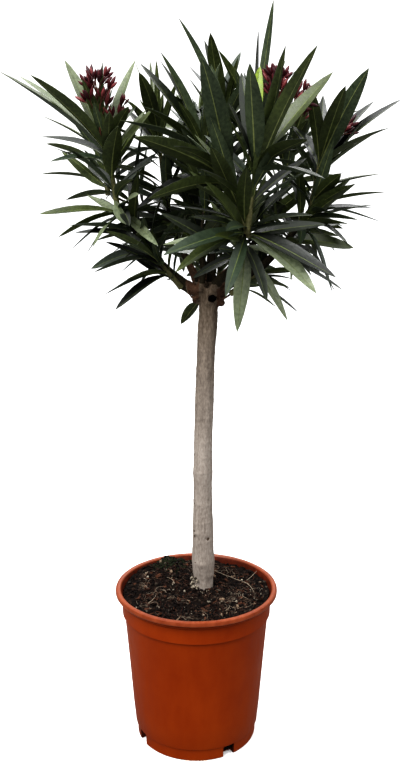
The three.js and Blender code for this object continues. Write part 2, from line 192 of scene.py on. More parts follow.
# %% The uneven group
def make_uneven_group():
    group = bpy.data.node_groups.new("uneven", "ShaderNodeTree")
    wanted = {
        "Low": "NodeSocketColor", "High": "NodeSocketColor", "Scale": "NodeSocketFloat",
        "Stretch": "NodeSocketFloat", "From": "NodeSocketFloat", "To": "NodeSocketFloat",
    }
    for name, kind in wanted.items():
        group.interface.new_socket(name=name, in_out="INPUT", socket_type=kind)
    group.interface.new_socket(name="Color", in_out="OUTPUT", socket_type="NodeSocketColor")
    group.interface.new_socket(name="Height", in_out="OUTPUT", socket_type="NodeSocketFloat")
    given = group.nodes.new("NodeGroupInput").outputs
    result = group.nodes.new("NodeGroupOutput").inputs
    place = add_node(group, "ShaderNodeTexCoord")
    stretch = add_node(group, "ShaderNodeCombineXYZ", X=1.0, Y=1.0, Z=given["Stretch"])
    drawn = group.nodes.new("ShaderNodeVectorMath")
    drawn.operation = "MULTIPLY"
    group.links.new(place.outputs["Object"], drawn.inputs[0])
    group.links.new(stretch.outputs["Vector"], drawn.inputs[1])
    cloud = add_node(group, "ShaderNodeTexNoise", Vector=drawn.outputs["Vector"],
                     Scale=given["Scale"], Detail=4.0, Roughness=0.6)
    spread = add_node(group, "ShaderNodeMapRange", Value=cloud.outputs["Fac"],
                      From_Min=given["From"], From_Max=given["To"])
    mixed = add_node(group, "ShaderNodeMix", {"data_type": "RGBA"},
                     Factor=spread.outputs["Result"], A=given["Low"], B=given["High"])
    group.links.new(socket_of(mixed.outputs, "Result"), result["Color"])
    group.links.new(spread.outputs["Result"], result["Height"])
    return group


uneven = make_uneven_group()


def add_uneven(tree, low, high, scale, stretch=1.0, reach=(0.35, 0.65)):
    return add_node(tree, "ShaderNodeGroup", {"node_tree": uneven}, Low=low, High=high,
                    Scale=scale, Stretch=stretch, From=reach[0], To=reach[1])


# %% [markdown]
# ## A material from layers
# Nearly every finish here is the same build: a broad colour change, a finer one over it,
# and a bump. This helper makes that build, and each material below gives its own colours,
# scales and gloss. Constant numbers go straight on the Principled shader's sockets.

# %% Helper for layered materials
def two_layers(tree, broad, fine, mix):
    base, over = add_uneven(tree, **broad), add_uneven(tree, **fine)
    mixed = add_node(tree, "ShaderNodeMix", {"data_type": "RGBA"}, Factor=mix,
                     A=base.outputs["Color"], B=over.outputs["Color"])
    return socket_of(mixed.outputs, "Result"), over.outputs["Height"]


def layered_material(name, broad, fine, mix=0.5, roughness=(0.5, 0.6), bump=0.2, depth=0.3,
                     upper=None, **shader_inputs):
    """broad and fine are keyword sets for add_uneven, and depth is the bump's height in mm.
    upper holds another such pair that takes over between two heights, start and end."""
    material = bpy.data.materials.new(name)
    material.use_nodes = True
    tree = material.node_tree
    shader = tree.nodes["Principled BSDF"]
    for socket, value in shader_inputs.items():
        shader.inputs[socket.replace("_", " ")].default_value = value
    shown, height = two_layers(tree, broad, fine, mix)
    if upper:
        other, _ = two_layers(tree, upper["broad"], upper["fine"], mix)
        place = add_node(tree, "ShaderNodeTexCoord")
        level = add_node(tree, "ShaderNodeSeparateXYZ", Vector=place.outputs["Object"])
        change = add_node(tree, "ShaderNodeMapRange", Value=level.outputs["Z"],
                          From_Min=upper["start"], From_Max=upper["end"])
        mixed = add_node(tree, "ShaderNodeMix", {"data_type": "RGBA"},
                         Factor=change.outputs["Result"], A=shown, B=other)
        shown = socket_of(mixed.outputs, "Result")
    tree.links.new(shown, shader.inputs["Base Color"])
    rough = add_node(tree, "ShaderNodeMapRange", Value=height, To_Min=roughness[0], To_Max=roughness[1])
    tree.links.new(rough.outputs["Result"], shader.inputs["Roughness"])
    raised = add_node(tree, "ShaderNodeBump", Height=height, Strength=bump, Distance=depth * MM)
    tree.links.new(raised.outputs["Normal"], shader.inputs["Normal"])
    return material


# %% [markdown]
# ## Sky and floor
# The plant stands on a white sheet before a white backdrop, but the light on it is that of
# an overcast day: bright from above, weak from the sides. White all round would wash out
# its dark leaves. So both the sky and the floor show white to the camera only, which a
# Light Path node tells apart, and give a dimmer light to everything else.

# %% Sky
world = bpy.data.worlds.new("studio")
world.use_nodes = True
sky = world.node_tree
dome = sky.nodes["Background"]
heading = add_node(sky, "ShaderNodeTexCoord")
split = add_node(sky, "ShaderNodeSeparateXYZ", Vector=heading.outputs["Generated"])
rise = add_node(sky, "ShaderNodeMapRange", Value=split.outputs["Z"],
                From_Min=0.0, From_Max=1.0, To_Min=0.04, To_Max=1.5)
sky.links.new(rise.outputs["Result"], dome.inputs["Strength"])
dome.inputs["Color"].default_value = (0.98, 0.99, 1.0, 1.0)
backdrop = add_node(sky, "ShaderNodeBackground", Color=(1.0, 1.0, 1.0, 1.0), Strength=1.05)
seen = add_node(sky, "ShaderNodeLightPath")
shown = sky.nodes.new("ShaderNodeMixShader")
sky.links.new(seen.outputs["Is Camera Ray"], shown.inputs[0])
sky.links.new(dome.outputs[0], shown.inputs[1])
sky.links.new(backdrop.outputs[0], shown.inputs[2])
sky.links.new(shown.outputs[0], sky.nodes["World Output"].inputs["Surface"])
bpy.context.scene.world = world
print("sky rises from", rise.inputs["To Min"].default_value, "to", rise.inputs["To Max"].default_value)

# %% [markdown]
# The floor is one large sheet of plain pale paper, a grid wide enough for its edge to stay
# out of view. Its material is split by the same Light Path node as the sky.

# %% Floor
floor_material = layered_material(
    "pale_floor",
    dict(low=colour(250, 250, 250), high=colour(252, 252, 252), scale=3.0),
    dict(low=colour(251, 251, 251), high=colour(253, 253, 253), scale=60.0),
    roughness=(0.75, 0.8), bump=0.02, Specular_IOR_Level=0.1,
    Emission_Color=(1.0, 1.0, 1.0, 1.0), Emission_Strength=0.12)
tree = floor_material.node_tree
dull = add_node(tree, "ShaderNodeBsdfDiffuse", Color=(0.22, 0.22, 0.22, 1.0))
seen = add_node(tree, "ShaderNodeLightPath")
shown = tree.nodes.new("ShaderNodeMixShader")
tree.links.new(seen.outputs["Is Camera Ray"], shown.inputs[0])
tree.links.new(dull.outputs[0], shown.inputs[1])
tree.links.new(tree.nodes["Principled BSDF"].outputs[0], shown.inputs[2])
tree.links.new(shown.outputs[0], tree.nodes["Material Output"].inputs["Surface"])
sheet = bmesh.new()
bmesh.ops.create_grid(sheet, x_segments=8, y_segments=8, size=30.0)
floor = new_object("floor", sheet, [floor_material])

# %% [markdown]
# ## The pot
# The pot is blow-moulded plastic: a thin wall that widens in steps, a rolled lip, and
# four notches in the foot that let water out. A moulded round thing is its outline spun
# round the middle, so the outline is drawn as a few radius and height pairs in
# millimetres and spun. Its corners are cut off a little, so that they catch the light.

# %% Pot outline
# (radius, height) in mm, from the middle of the underside round the lip to the inner floor
POT_OUTSIDE = [
    (0, 3.4), (70, 3.4), (74, 1.2), (78, 0), (80.2, 0), (81.8, 1.5), (82, 11), (83, 17), (84.2, 18),
    (84.6, 19.5), (87.5, 50), (92, 110), (97.5, 176), (97.9, 178.4), (100.5, 179.4), (101, 201.6),
    (104.2, 202.4), (105.6, 204.2), (105, 206.4), (108.6, 207.1), (109.6, 208.4), (109.6, 211.2),
    (108.9, 213), (107.2, 214),
]
POT_INSIDE = [
    (104.8, 214), (103.3, 213.4), (102.2, 212), (101.2, 209), (99.4, 204), (96, 177), (82.4, 20),
    (77, 5.2), (0, 5.2),
]
POT_STEPS = 144
NOTCH_BEARINGS = (-58, 30, 120, 208)
pot_middle = sum(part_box("pot"), Vector()) / 2


def spin_outline(outline, steps, middle):
    """A closed solid of revolution from (radius, height) pairs in mm."""
    bm = bmesh.new()
    points = [bm.verts.new((middle.x + r * MM, middle.y, z * MM)) for r, z in outline]
    edges = [bm.edges.new(pair) for pair in zip(points, points[1:])]
    bmesh.ops.spin(bm, geom=points + edges, cent=(middle.x, middle.y, 0), axis=UP,
                   angle=math.tau, steps=steps, use_merge=True)
    bmesh.ops.remove_doubles(bm, verts=bm.verts, dist=0.01 * MM)
    bmesh.ops.recalc_face_normals(bm, faces=bm.faces)
    return bm


pot_shape = spin_outline(POT_OUTSIDE + POT_INSIDE, POT_STEPS, pot_middle)

# %% [markdown]
# The notches are cut with bevelled blocks, one for each bearing round the foot, so that
# their corners are rounded as moulded ones are. A Boolean modifier takes the blocks away
# from the pot, and its result is kept as the pot's own mesh.

# %% Notches in the foot
NOTCH_SIZE = Vector((19, 17, 32)) * MM
NOTCH_RADIUS = 82.5 * MM
cutters = bmesh.new()
for bearing in NOTCH_BEARINGS:
    cut = bmesh.ops.create_cube(cutters, size=1.0)["verts"]
    bmesh.ops.scale(cutters, vec=NOTCH_SIZE, verts=cut)
    bmesh.ops.translate(cutters, vec=(NOTCH_RADIUS, 0, 0), verts=cut)
    turn = Matrix.Rotation(math.radians(bearing), 3, "Z")
    bmesh.ops.rotate(cutters, cent=(0, 0, 0), matrix=turn, verts=cut)
bmesh.ops.bevel(cutters, geom=cutters.edges[:], offset=1.5 * MM, segments=3, affect="EDGES",
                profile=0.5, material=-1)
cutter = new_object("notch_cutter", cutters, [])
uncut = new_object("pot_uncut", pot_shape, [])
boolean = uncut.modifiers.new("notches", "BOOLEAN")
boolean.operation = "DIFFERENCE"
boolean.object = cutter
pot_cut = baked(uncut)
bpy.data.objects.remove(cutter)
print(len(NOTCH_BEARINGS), "notches,", len(pot_cut.faces), "faces")

# %% [markdown]
# Terracotta-coloured plastic is a strong rust brown, slightly glossy, with cloudy patches
# and fine scuffs. The lip is painted paler, partly for dust and partly as painted light
# where it catches the sun. The inner wall is painted darker, partly for compost dust and
# partly as painted shade, since little light gets down inside the pot.

# %% Pot finish
pot_body = layered_material(
    "rust_plastic",
    dict(low=colour(136, 52, 4), high=colour(148, 62, 9), scale=9.0),
    dict(low=colour(128, 49, 5), high=colour(156, 70, 15), scale=70.0, stretch=0.3),
    mix=0.18, roughness=(0.36, 0.5), bump=0.12, depth=0.25, Specular_IOR_Level=0.16)
# The lip's paler colour is partly dust and partly painted light where the lip catches the sun.
pot_lip = layered_material(
    "lip_dust_and_painted_light",
    dict(low=colour(124, 54, 20), high=colour(144, 70, 34), scale=14.0),
    dict(low=colour(108, 44, 14), high=colour(162, 92, 56), scale=110.0),
    mix=0.3, roughness=(0.34, 0.46), bump=0.1, depth=0.2, Specular_IOR_Level=0.4)
# The inner wall's darker colour is partly compost dust and partly painted shade inside the pot.
pot_inner = layered_material(
    "inner_dust_and_painted_shade",
    dict(low=colour(74, 26, 8), high=colour(96, 36, 14), scale=18.0),
    dict(low=colour(48, 22, 12), high=colour(116, 50, 26), scale=140.0),
    mix=0.5, roughness=(0.5, 0.65), bump=0.12, depth=0.2, Specular_IOR_Level=0.2)
INNER_WALL = (5 * MM, 212.6 * MM)
LIP_FOOT = 206.9 * MM
# Inner faces get the darker finish, partly painted shade; faces above the lip's foot get the paler one,
# partly painted light.
for face in pot_cut.faces:
    middle = face.calc_center_median()
    outward = face.normal.xy.dot((middle - pot_middle).xy)
    if outward < 0 and INNER_WALL[0] < middle.z < INNER_WALL[1]:
        face.material_index = 2
    elif middle.z > LIP_FOOT:
        face.material_index = 1
new_piece("pot_shell", pot_cut, [pot_body, pot_lip, pot_inner], ["pot"], sharp=28)

# %% [markdown]
# ## The compost
# Compost settles unevenly: higher towards the back left, dished round the stem, with
# crumbs all over. A radial line spun round gives a round bed whose rings are close enough
# to be pushed up and down by noise.

# %% Compost bed
SOIL_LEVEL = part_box("trunk")[0].z
SOIL_RADIUS = 98.9
BED_RINGS = 76
MOUND = Vector((-58, 42)) * MM
MOSS = Vector((-41, 77)) * MM
foot_points = [v.co for v in nodes["trunk"].data.vertices if v.co.z < SOIL_LEVEL + 1 * MM]
foot = sum(foot_points, Vector()) / len(foot_points)
foot.z = 0


def soil_height(x, y):
    """The level of the bed at a place, in metres."""
    spot = Vector((x, y, 0))
    mound = 6 * math.exp(-((spot.xy - MOUND).length / (38 * MM)) ** 2)
    mound += 8 * math.exp(-((spot.xy - MOSS).length / (19 * MM)) ** 2)
    dish = -2 * math.exp(-((spot - foot).length / (24 * MM)) ** 2)
    rolling = 2.6 * noise.noise(spot * 38)
    lumps = 2.8 * noise.noise(spot * 120 + Vector((3, 1, 0)))
    crumbs = 2.0 * noise.noise(spot * 330 + Vector((0, 7, 0)))
    return SOIL_LEVEL + (mound + dish + rolling + lumps + crumbs) * MM


bed_outline = [(SOIL_RADIUS * ring / BED_RINGS, SOIL_LEVEL / MM) for ring in range(BED_RINGS + 1)]
bed_outline += [(95.7, 177), (82, 20.2), (76.5, 5.6), (0, 5.6)]
bed = spin_outline(bed_outline, 260, Vector((0, 0, 0)))
for vertex in bed.verts:
    if vertex.co.z > SOIL_LEVEL - 1 * MM:
        vertex.co.z = soil_height(vertex.co.x, vertex.co.y)
bmesh.ops.recalc_face_normals(bed, faces=bed.faces)
print("compost level", round(SOIL_LEVEL, 4))

# %% [markdown]
# Wet peat is nearly black and has no gloss at all, and the mound at the back has grown a
# green film of moss. Noise decides where the film ends, so that its edge is ragged.

# %% Compost finish
peat = layered_material(
    "dark_peat",
    dict(low=colour(12, 9, 8), high=colour(32, 24, 20), scale=30.0),
    dict(low=colour(8, 6, 6), high=colour(58, 45, 37), scale=420.0, reach=(0.35, 0.85)),
    mix=0.5, roughness=(0.85, 0.95), bump=0.9, depth=1.4, Specular_IOR_Level=0.15)
moss = layered_material(
    "green_film",
    dict(low=colour(14, 18, 12), high=colour(32, 38, 24), scale=60.0),
    dict(low=colour(10, 11, 9), high=colour(48, 56, 36), scale=380.0),
    mix=0.5, roughness=(0.85, 0.95), bump=0.9, depth=1.4, Specular_IOR_Level=0.15)
for face in bed.faces:
    middle = face.calc_center_median()
    patch = noise.noise(middle * 60) + 0.7 - (middle.xy - MOSS).length / (36 * MM)
    face.material_index = 1 if patch > 0 else 0
new_piece("compost", bed, [peat, moss], ["soil"], sharp=70)

# %% [markdown]
# ## Crumbs and chips on the compost
# Crumbs are small rounded lumps, and chips are flat splinters of composted bark. Each kind
# is made once in a few faces, copied about at random and joined to one piece, because
# hundreds of small objects would be slow to handle. Every copy is dealt one of a few
# finishes, since real compost is a mix of blacks, browns and a few pale bits.

# %% Helpers for scattered bits
BED_EDGE = 97 * MM
STEM_CLEAR = 15 * MM


def template_of(bm, name):
    mesh = bpy.data.meshes.new(name)
    bm.to_mesh(mesh)
    bm.free()
    return mesh


def bed_spot(chance, radius, centre=(0, 0)):
    """A chance place on the bed, within a radius in mm of a centre in mm."""
    reach = radius * math.sqrt(chance.random())
    bearing = chance.uniform(0, math.tau)
    spot = Vector((centre[0] + reach * math.cos(bearing), centre[1] + reach * math.sin(bearing), 0))
    spot *= MM
    spot.z = soil_height(spot.x, spot.y)
    return spot


def add_copy(bm, template, matrix, look):
    """Joins a moved copy of a template mesh to bm, in one of its piece's finishes."""
    copy = template.copy()
    copy.transform(matrix)
    copy.polygons.foreach_set("material_index", [look] * len(copy.polygons))
    bm.from_mesh(copy)
    bpy.data.meshes.remove(copy)


def add_bit(bm, template, spot, chance, size, look, tilt=180):
    turn = Matrix.Rotation(chance.uniform(0, math.tau), 4, "Z")
    turn = turn @ Matrix.Rotation(math.radians(chance.uniform(-tilt, tilt)), 4, "X")
    shape = Matrix.Diagonal([size * chance.uniform(0.6, 1.0) for _ in range(3)] + [1.0])
    add_copy(bm, template, Matrix.Translation(spot) @ turn @ shape, look)


def scatter(bm, template, count, chance, sizes, rise, looks, radius=93, centre=(0, 0), tilt=180):
    """Copies a template over the bed: sizes in mm, rise over the bed in mm, looks as weights."""
    for _ in range(count):
        spot = bed_spot(chance, radius, centre)
        if spot.xy.length > BED_EDGE or (spot.xy - foot.xy).length < STEM_CLEAR:
            continue
        look = chance.choices(range(len(looks)), looks)[0]
        size = sizes[0] + (sizes[1] - sizes[0]) * chance.random() ** 2
        add_bit(bm, template, spot + UP * rise * MM, chance, size * MM, look, tilt)


def shaded(rgb, factor):
    """A darker or lighter turn of a colour."""
    return colour(*[min(255, part * factor) for part in rgb])


def bit_material(name, low, high):
    return layered_material(
        name, dict(low=colour(*low), high=colour(*high), scale=110.0),
        dict(low=shaded(low, 0.6), high=shaded(high, 1.25), scale=600.0),
        mix=0.5, roughness=(0.8, 0.95), bump=0.5, depth=0.5, Specular_IOR_Level=0.2)


# %% [markdown]
# A crumb is an icosphere of a few faces, dented by noise. Crumbs lie all over the bed, a
# green lot covers the mossy mound, and a ring of them leans on the foot of the stem, with
# a few pale ones stuck to its left side.

# %% Crumbs
chance = random.Random(41)
lump = bmesh.new()
bmesh.ops.create_icosphere(lump, subdivisions=1, radius=0.5)
for vertex in lump.verts:
    vertex.co *= 1 + 0.6 * noise.noise(vertex.co * 3.1)
lump_mesh = template_of(lump, "crumb")
crumbs = bmesh.new()
BIT_MATERIALS = [
    bit_material("black_crumb", (9, 7, 7), (26, 20, 18)),
    bit_material("brown_crumb", (24, 17, 14), (54, 40, 32)),
    bit_material("grey_crumb", (46, 40, 35), (80, 72, 63)),
    bit_material("pale_crumb", (126, 117, 104), (164, 155, 140)),
    bit_material("mossy_crumb", (18, 22, 13), (42, 47, 29)),
]
scatter(crumbs, lump_mesh, 2500, chance, (1.6, 6.5), 0.5, (46, 38, 10, 1.6, 0), radius=97)
scatter(crumbs, lump_mesh, 480, chance, (2.0, 6.0), 1.4, (20, 2, 1, 0, 76), radius=26,
        centre=MOSS / MM)


def beside_stem(bearing, reach):
    return Vector((foot.x + reach * math.cos(bearing), foot.y + reach * math.sin(bearing), 0))


for _ in range(150):
    bearing = chance.uniform(0, math.tau)
    reach = chance.uniform(13.5, 19) * MM
    spot = beside_stem(bearing, reach)
    spot.z = soil_height(spot.x, spot.y) + chance.uniform(0, 2.5) * MM
    add_bit(crumbs, lump_mesh, spot, chance, chance.uniform(2.2, 5.5) * MM, chance.choice((0, 0, 1)))
for _ in range(34):
    bearing = math.radians(chance.uniform(165, 235))
    reach = chance.uniform(13.5, 17.5) * MM
    spot = beside_stem(bearing, reach)
    spot.z = SOIL_LEVEL + chance.uniform(0, 18) * MM
    add_bit(crumbs, lump_mesh, spot, chance, chance.uniform(2.0, 5.0) * MM, chance.choice((2, 3, 3)))
new_piece("crumbs", crumbs, BIT_MATERIALS, sharp=60)

# %% [markdown]
# A chip is a flattened block, subdivided once so that noise can make it ragged. Chips lie
# nearly flat, since a flat thing comes to rest that way.

# %% Bark chips
flake = bmesh.new()
bmesh.ops.create_cube(flake, size=1.0)
bmesh.ops.subdivide_edges(flake, edges=flake.edges[:], cuts=1, use_grid_fill=True)
bmesh.ops.scale(flake, vec=(1.0, 0.42, 0.16), verts=flake.verts)
for vertex in flake.verts:
    vertex.co.x *= 1 + 0.5 * noise.noise(vertex.co * 4 + Vector((5, 0, 0)))
    vertex.co.y *= 1 + 0.8 * noise.noise(vertex.co * 5)
flake_mesh = template_of(flake, "chip")
chips = bmesh.new()
CHIP_MATERIALS = [
    bit_material("dark_chip", (24, 17, 14), (48, 34, 27)),
    bit_material("red_chip", (54, 34, 25), (88, 58, 42)),
    bit_material("worn_chip", (96, 80, 66), (134, 116, 98)),
]
scatter(chips, flake_mesh, 460, chance, (3.0, 10.0), 1.6, (60, 32, 6), tilt=55)
new_piece("bark_chips", chips, CHIP_MATERIALS, sharp=30)

# %% [markdown]
# ## Tubes
# Straws, stems, boughs and the trunk are all tubes that bend and taper. A tube starts as
# a circle, and its rim is extruded from station to station. Each new ring is turned by
# the smallest turn that follows the bend, so the tube never twists.

# %% Helper for tubes
def grow_tube(bm, stations, sides=8):
    """Adds a closed tube through (middle, radius) stations and returns its vertices."""
    heading = (stations[1][0] - stations[0][0]).normalized()
    turn = UP.rotation_difference(heading)
    ring = bmesh.ops.create_circle(bm, cap_ends=True, radius=1.0, segments=sides)["verts"]
    rim = list({edge for vertex in ring for edge in vertex.link_edges})
    was = Matrix.Identity(4)
    grown = []
    for step, (middle, radius) in enumerate(stations):
        ahead = stations[min(step + 1, len(stations) - 1)][0]
        behind = stations[max(step - 1, 0)][0]
        bent = (ahead - behind).normalized()
        turn = heading.rotation_difference(bent) @ turn
        heading = bent
        now = Matrix.LocRotScale(middle, turn, Vector((radius, radius, radius)))
        if step:
            made = bmesh.ops.extrude_edge_only(bm, edges=rim)["geom"]
            ring = [item for item in made if isinstance(item, bmesh.types.BMVert)]
            fresh = set(ring)
            rim = [item for item in made if isinstance(item, bmesh.types.BMEdge)
                   and fresh.issuperset(item.verts)]
        bmesh.ops.transform(bm, matrix=now @ was.inverted(), verts=ring)
        was = now
        grown += ring
    bmesh.ops.edgeloop_fill(bm, edges=rim)
    return grown


# %% [markdown]
# ## Straws and roots
# Pale dead stalks and hair roots lie over the compost in every direction. They are thin
# tubes that bow and wander a little. A root is laid between two chance places, some all
# over the bed and some in small tangles.

# %% Helpers for straws
def lay_straw(bm, start, end, radius, bow, look, chance, lift=1.0, steps=6):
    side = (end - start).cross(UP).normalized()
    line = []
    for step in range(steps + 1):
        share = step / steps
        arch = 4 * share * (1 - share)
        middle = start.lerp(end, share) + (side * bow + UP * lift * MM) * arch
        middle += Vector([chance.gauss(0, 0.25) * MM for _ in range(3)])
        line.append((middle, radius * (1.1 - 0.6 * share)))
    for vertex in grow_tube(bm, line, sides=4):
        for face in vertex.link_faces:
            face.material_index = look


def on_bed(x, y, above):
    return Vector((x * MM, y * MM, soil_height(x * MM, y * MM) + above * MM))


def lay_fibre(bm, chance, middle, spread, lengths, looks):
    """A fine root that starts somewhere round a middle, given in mm, and runs any way."""
    start = bed_spot(chance, spread, middle)
    bearing, reach = chance.uniform(0, math.tau), chance.uniform(*lengths)
    end = on_bed(start.x / MM + reach * math.cos(bearing), start.y / MM + reach * math.sin(bearing), 1.2)
    if max(start.xy.length, end.xy.length) < 94 * MM and (start.xy - foot.xy).length > 17 * MM:
        look = chance.choices(range(3), looks)[0]
        start += UP * 1.2 * MM
        end += UP * chance.uniform(-1, 2) * MM
        radius, bow = chance.uniform(0.18, 0.34) * MM, chance.gauss(0, 0.22) * reach * MM
        lay_straw(bm, start, end, radius, bow, look, chance, lift=1.4)


# %% [markdown]
# The long stalks have fixed places: one runs from beside the stem to the rim, a short one
# leans against the rim next to it, and three small ones stand out of the bed.

# %% Straws
# middles of the tangles in mm
TANGLES = (
    (-48, -14), (-66, -40), (-30, -30), (10, -70), (44, -62), (32, -40), (56, -22), (72, 2),
    (48, 44), (-72, 6), (-12, -84), (28, 66), (70, -40),
)
# (x, y, height over the bed) of both ends, then radius and bow, all in mm
LONG_STRAWS = (
    ((26, 52, 5), (66, 12, 4), 0.6, 3), ((66, 12, 4), (78, -14, 2), 0.5, -2),
    ((70, 24, 2), (86, 56, 5), 0.5, 2), ((-30, 10, 3), (-42, 24, 5), 0.45, 2),
    ((36, -66, 2), (43, -52, 5), 0.45, 3), ((-66, -44, 2), (-54, -26, 4), 0.45, 3),
)
straws = bmesh.new()
for _ in range(240):
    lay_fibre(straws, chance, (0, 0), 90, (4, 12), (6, 44, 50))
for middle in TANGLES:
    for _ in range(13):
        lay_fibre(straws, chance, middle, 9, (5, 16), (42, 46, 12))
for start, end, radius, bow in LONG_STRAWS:
    lay_straw(straws, on_bed(*start), on_bed(*end), radius * MM, bow * MM, 0, chance, steps=9)
bmesh.ops.recalc_face_normals(straws, faces=straws.faces)
STRAW_MATERIALS = [
    bit_material("pale_straw", (118, 106, 92), (154, 142, 126)),
    bit_material("brown_straw", (70, 56, 46), (108, 90, 76)),
    bit_material("red_root", (58, 34, 28), (92, 60, 48)),
]
new_piece("straws", straws, STRAW_MATERIALS, sharp=70)

# %% [markdown]
# ## The fork
# The stem was cut back at about 60 cm, and the boughs grow out round the cut. Much of what
# follows is placed from that fork, so it is found first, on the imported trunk: its top face
# ends a little above the fork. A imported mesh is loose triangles, so a copy of it is merged
# before it is measured.

# %% Find the fork
FORK_FROM_TOP = Vector((-2, 2, -32)) * MM


def merged_copy(name):
    bm = bmesh.new()
    bm.from_mesh(nodes[name].data)
    bmesh.ops.remove_doubles(bm, verts=bm.verts, dist=0.01 * MM)
    return bm


packed_trunk = merged_copy("trunk")
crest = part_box("trunk")[1].z
top_face = [vertex.co.copy() for vertex in packed_trunk.verts if vertex.co.z > crest - 2 * MM]
packed_trunk.free()
FORK = sum(top_face, Vector()) / len(top_face) + FORK_FROM_TOP
print("fork at", [round(c / MM, 2) for c in FORK], "mm")

# %% [markdown]
# ## The limbs' own lines
# The trunk and boughs are re-made with bark, so their lines are measured on the packed
# model: each solid is cut square to its length in several places, and each cut gives one
# middle and one radius. A limb's foot is the end nearest the stem's top.

# %% Measure the limbs
def measured_line(name, origin, sections):
    solid = merged_copy(name)
    points = [vertex.co.copy() for vertex in solid.verts]
    far = max(points, key=lambda point: (point - origin).length)
    near = max(points, key=lambda point: (point - far).length)
    axis = (far - near).normalized()
    line = []
    for section in range(sections):
        share = 0.03 + 0.94 * section / (sections - 1)
        cut = solid.copy()
        made = bmesh.ops.bisect_plane(cut, geom=cut.verts[:] + cut.edges[:] + cut.faces[:],
                                      plane_co=near.lerp(far, share), plane_no=axis)
        ring = [item.co.copy() for item in made["geom_cut"] if isinstance(item, bmesh.types.BMVert)]
        cut.free()
        if ring:
            middle = sum(ring, Vector()) / len(ring)
            line.append((middle, sum((point - middle).length for point in ring) / len(ring)))
    solid.free()
    return line


trunk_line = measured_line("trunk", Vector(), 15)
bough_lines = {name[6:]: measured_line(name, FORK, 9) for name in limb_names}
print("trunk radii", [round(radius / MM, 1) for _, radius in trunk_line])
for name, line in bough_lines.items():
    print(name, [round(c / MM) for c in line[0][0]], [round(c / MM) for c in line[-1][0]],
          round(line[0][1] / MM, 1), round(line[-1][1] / MM, 1))


# %% [markdown]
# ## Wood in one skin
# Where a bough leaves the stem the bark runs over the join without a seam. So all the
# limbs are grown as tubes that reach into each other, with a knob at the fork and a
# swollen collar at each bough's foot. A voxel remesh then melts them to one even skin,
# fine enough to be pushed about for the bark's relief.

# %% Stem thickness
# (height, added radius, spread) in mm
STEM_SWELLS = (
    (208, -1.2, 12), (240, 0.3, 12), (262, -0.5, 14), (300, 0.5, 12), (372, 0.5, 10), (447, -0.4, 16),
)


def swollen(height, radius):
    """The stem's radius in metres at a height, thicker and thinner by its known swells."""
    level = height / MM
    for middle, extra, width in STEM_SWELLS:
        radius += extra * MM * math.exp(-((level - middle) / width) ** 2)
    return radius * (1 - 0.08 * min(max((level - 290) / 60, 0), 1))


def resampled(line, count):
    """The line at even steps, so that a tube on it bends smoothly."""
    fine = []
    for step in range(count):
        place = (len(line) - 1) * step / (count - 1)
        below = min(int(place), len(line) - 2)
        share = place - below
        (a, ra), (b, rb) = line[below], line[below + 1]
        fine.append((a.lerp(b, share), ra + (rb - ra) * share))
    return fine


stem = [(middle, swollen(middle.z, radius)) for middle, radius in resampled(trunk_line, 60)]
print("stem radius from", round(stem[0][1] / MM, 1), "to", round(stem[-1][1] / MM, 1), "mm")

# %% [markdown]
# Each bough begins 16 mm inside the stem and keeps the thickness of its collar up to its
# measured foot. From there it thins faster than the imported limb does, so that the wood is
# slender where it goes in among the leaves. The knobs are small balls sunk in the fork.

# %% Rough wood
VOXEL = 1.35 * MM
# (place from the fork, radius) in mm
KNOBS = (((-13, -3, 4), 5.5), ((-15, -1, 14), 5), ((19, -4, 0), 5), ((21, -1, 9), 5), ((5, 11, 6), 7))
rough = bmesh.new()
below_soil = stem[0][0] - UP * 14 * MM
grow_tube(rough, [(below_soil, stem[0][1])] + stem, sides=28)
for name, line in bough_lines.items():
    line = resampled(line, 16)
    heading = (line[1][0] - line[0][0]).normalized()
    base, radius = line[0][0], max(line[1][1], line[2][1])
    inside = base - heading * 16 * MM
    collar = [(inside, radius * 0.9), (base - heading * 5 * MM, radius), (base, radius * 0.95)]
    thinned = [(middle, r * (0.93 - 0.033 * step)) for step, (middle, r) in enumerate(line)]
    grow_tube(rough, collar + thinned[2:], sides=14)
for offset, size in KNOBS:
    knob = bmesh.ops.create_icosphere(rough, subdivisions=2, radius=size * MM)["verts"]
    bmesh.ops.translate(rough, vec=FORK + Vector(offset) * MM, verts=knob)
bmesh.ops.recalc_face_normals(rough, faces=rough.faces)
rough_wood = new_object("rough_wood", rough, [])
remesh = rough_wood.modifiers.new("skin", "REMESH")
remesh.mode = "VOXEL"
remesh.voxel_size = VOXEL
wood = baked(rough_wood)
for _ in range(3):
    bmesh.ops.smooth_vert(wood, verts=wood.verts, factor=0.5,
                          use_axis_x=True, use_axis_y=True, use_axis_z=True)
print("wood skin", len(wood.faces), "faces")

# %% [markdown]
# ## Bark relief
# Young oleander bark is thin and nearly smooth. It has long shallow furrows, rings where
# leaves once sat, a few corky scars, and a round wound where the leading shoot was cut
# out to make the crown branch. Each is a push along the surface's own normal.

# %% Push of the bark
NODE_RINGS = (302, 331, 372, 415, 447, 490, 512, 536, 570)
# both lists are fixed numbers: (bearing in radians from the front, height, size, push) in mm
SCARS = ((-0.6, 288, 5.0, 1.1), (0.5, 281, 4.0, -0.9), (-0.2, 243, 6.0, 1.0), (0.9, 226, 5.0, 0.9),
         (-0.9, 470, 4.0, 0.8), (0.2, 395, 3.0, 0.7), (1.3, 350, 4.0, 0.8), (2.6, 320, 5.0, 1.0),
         (3.4, 440, 5.0, 0.9), (4.2, 260, 6.0, 1.1))
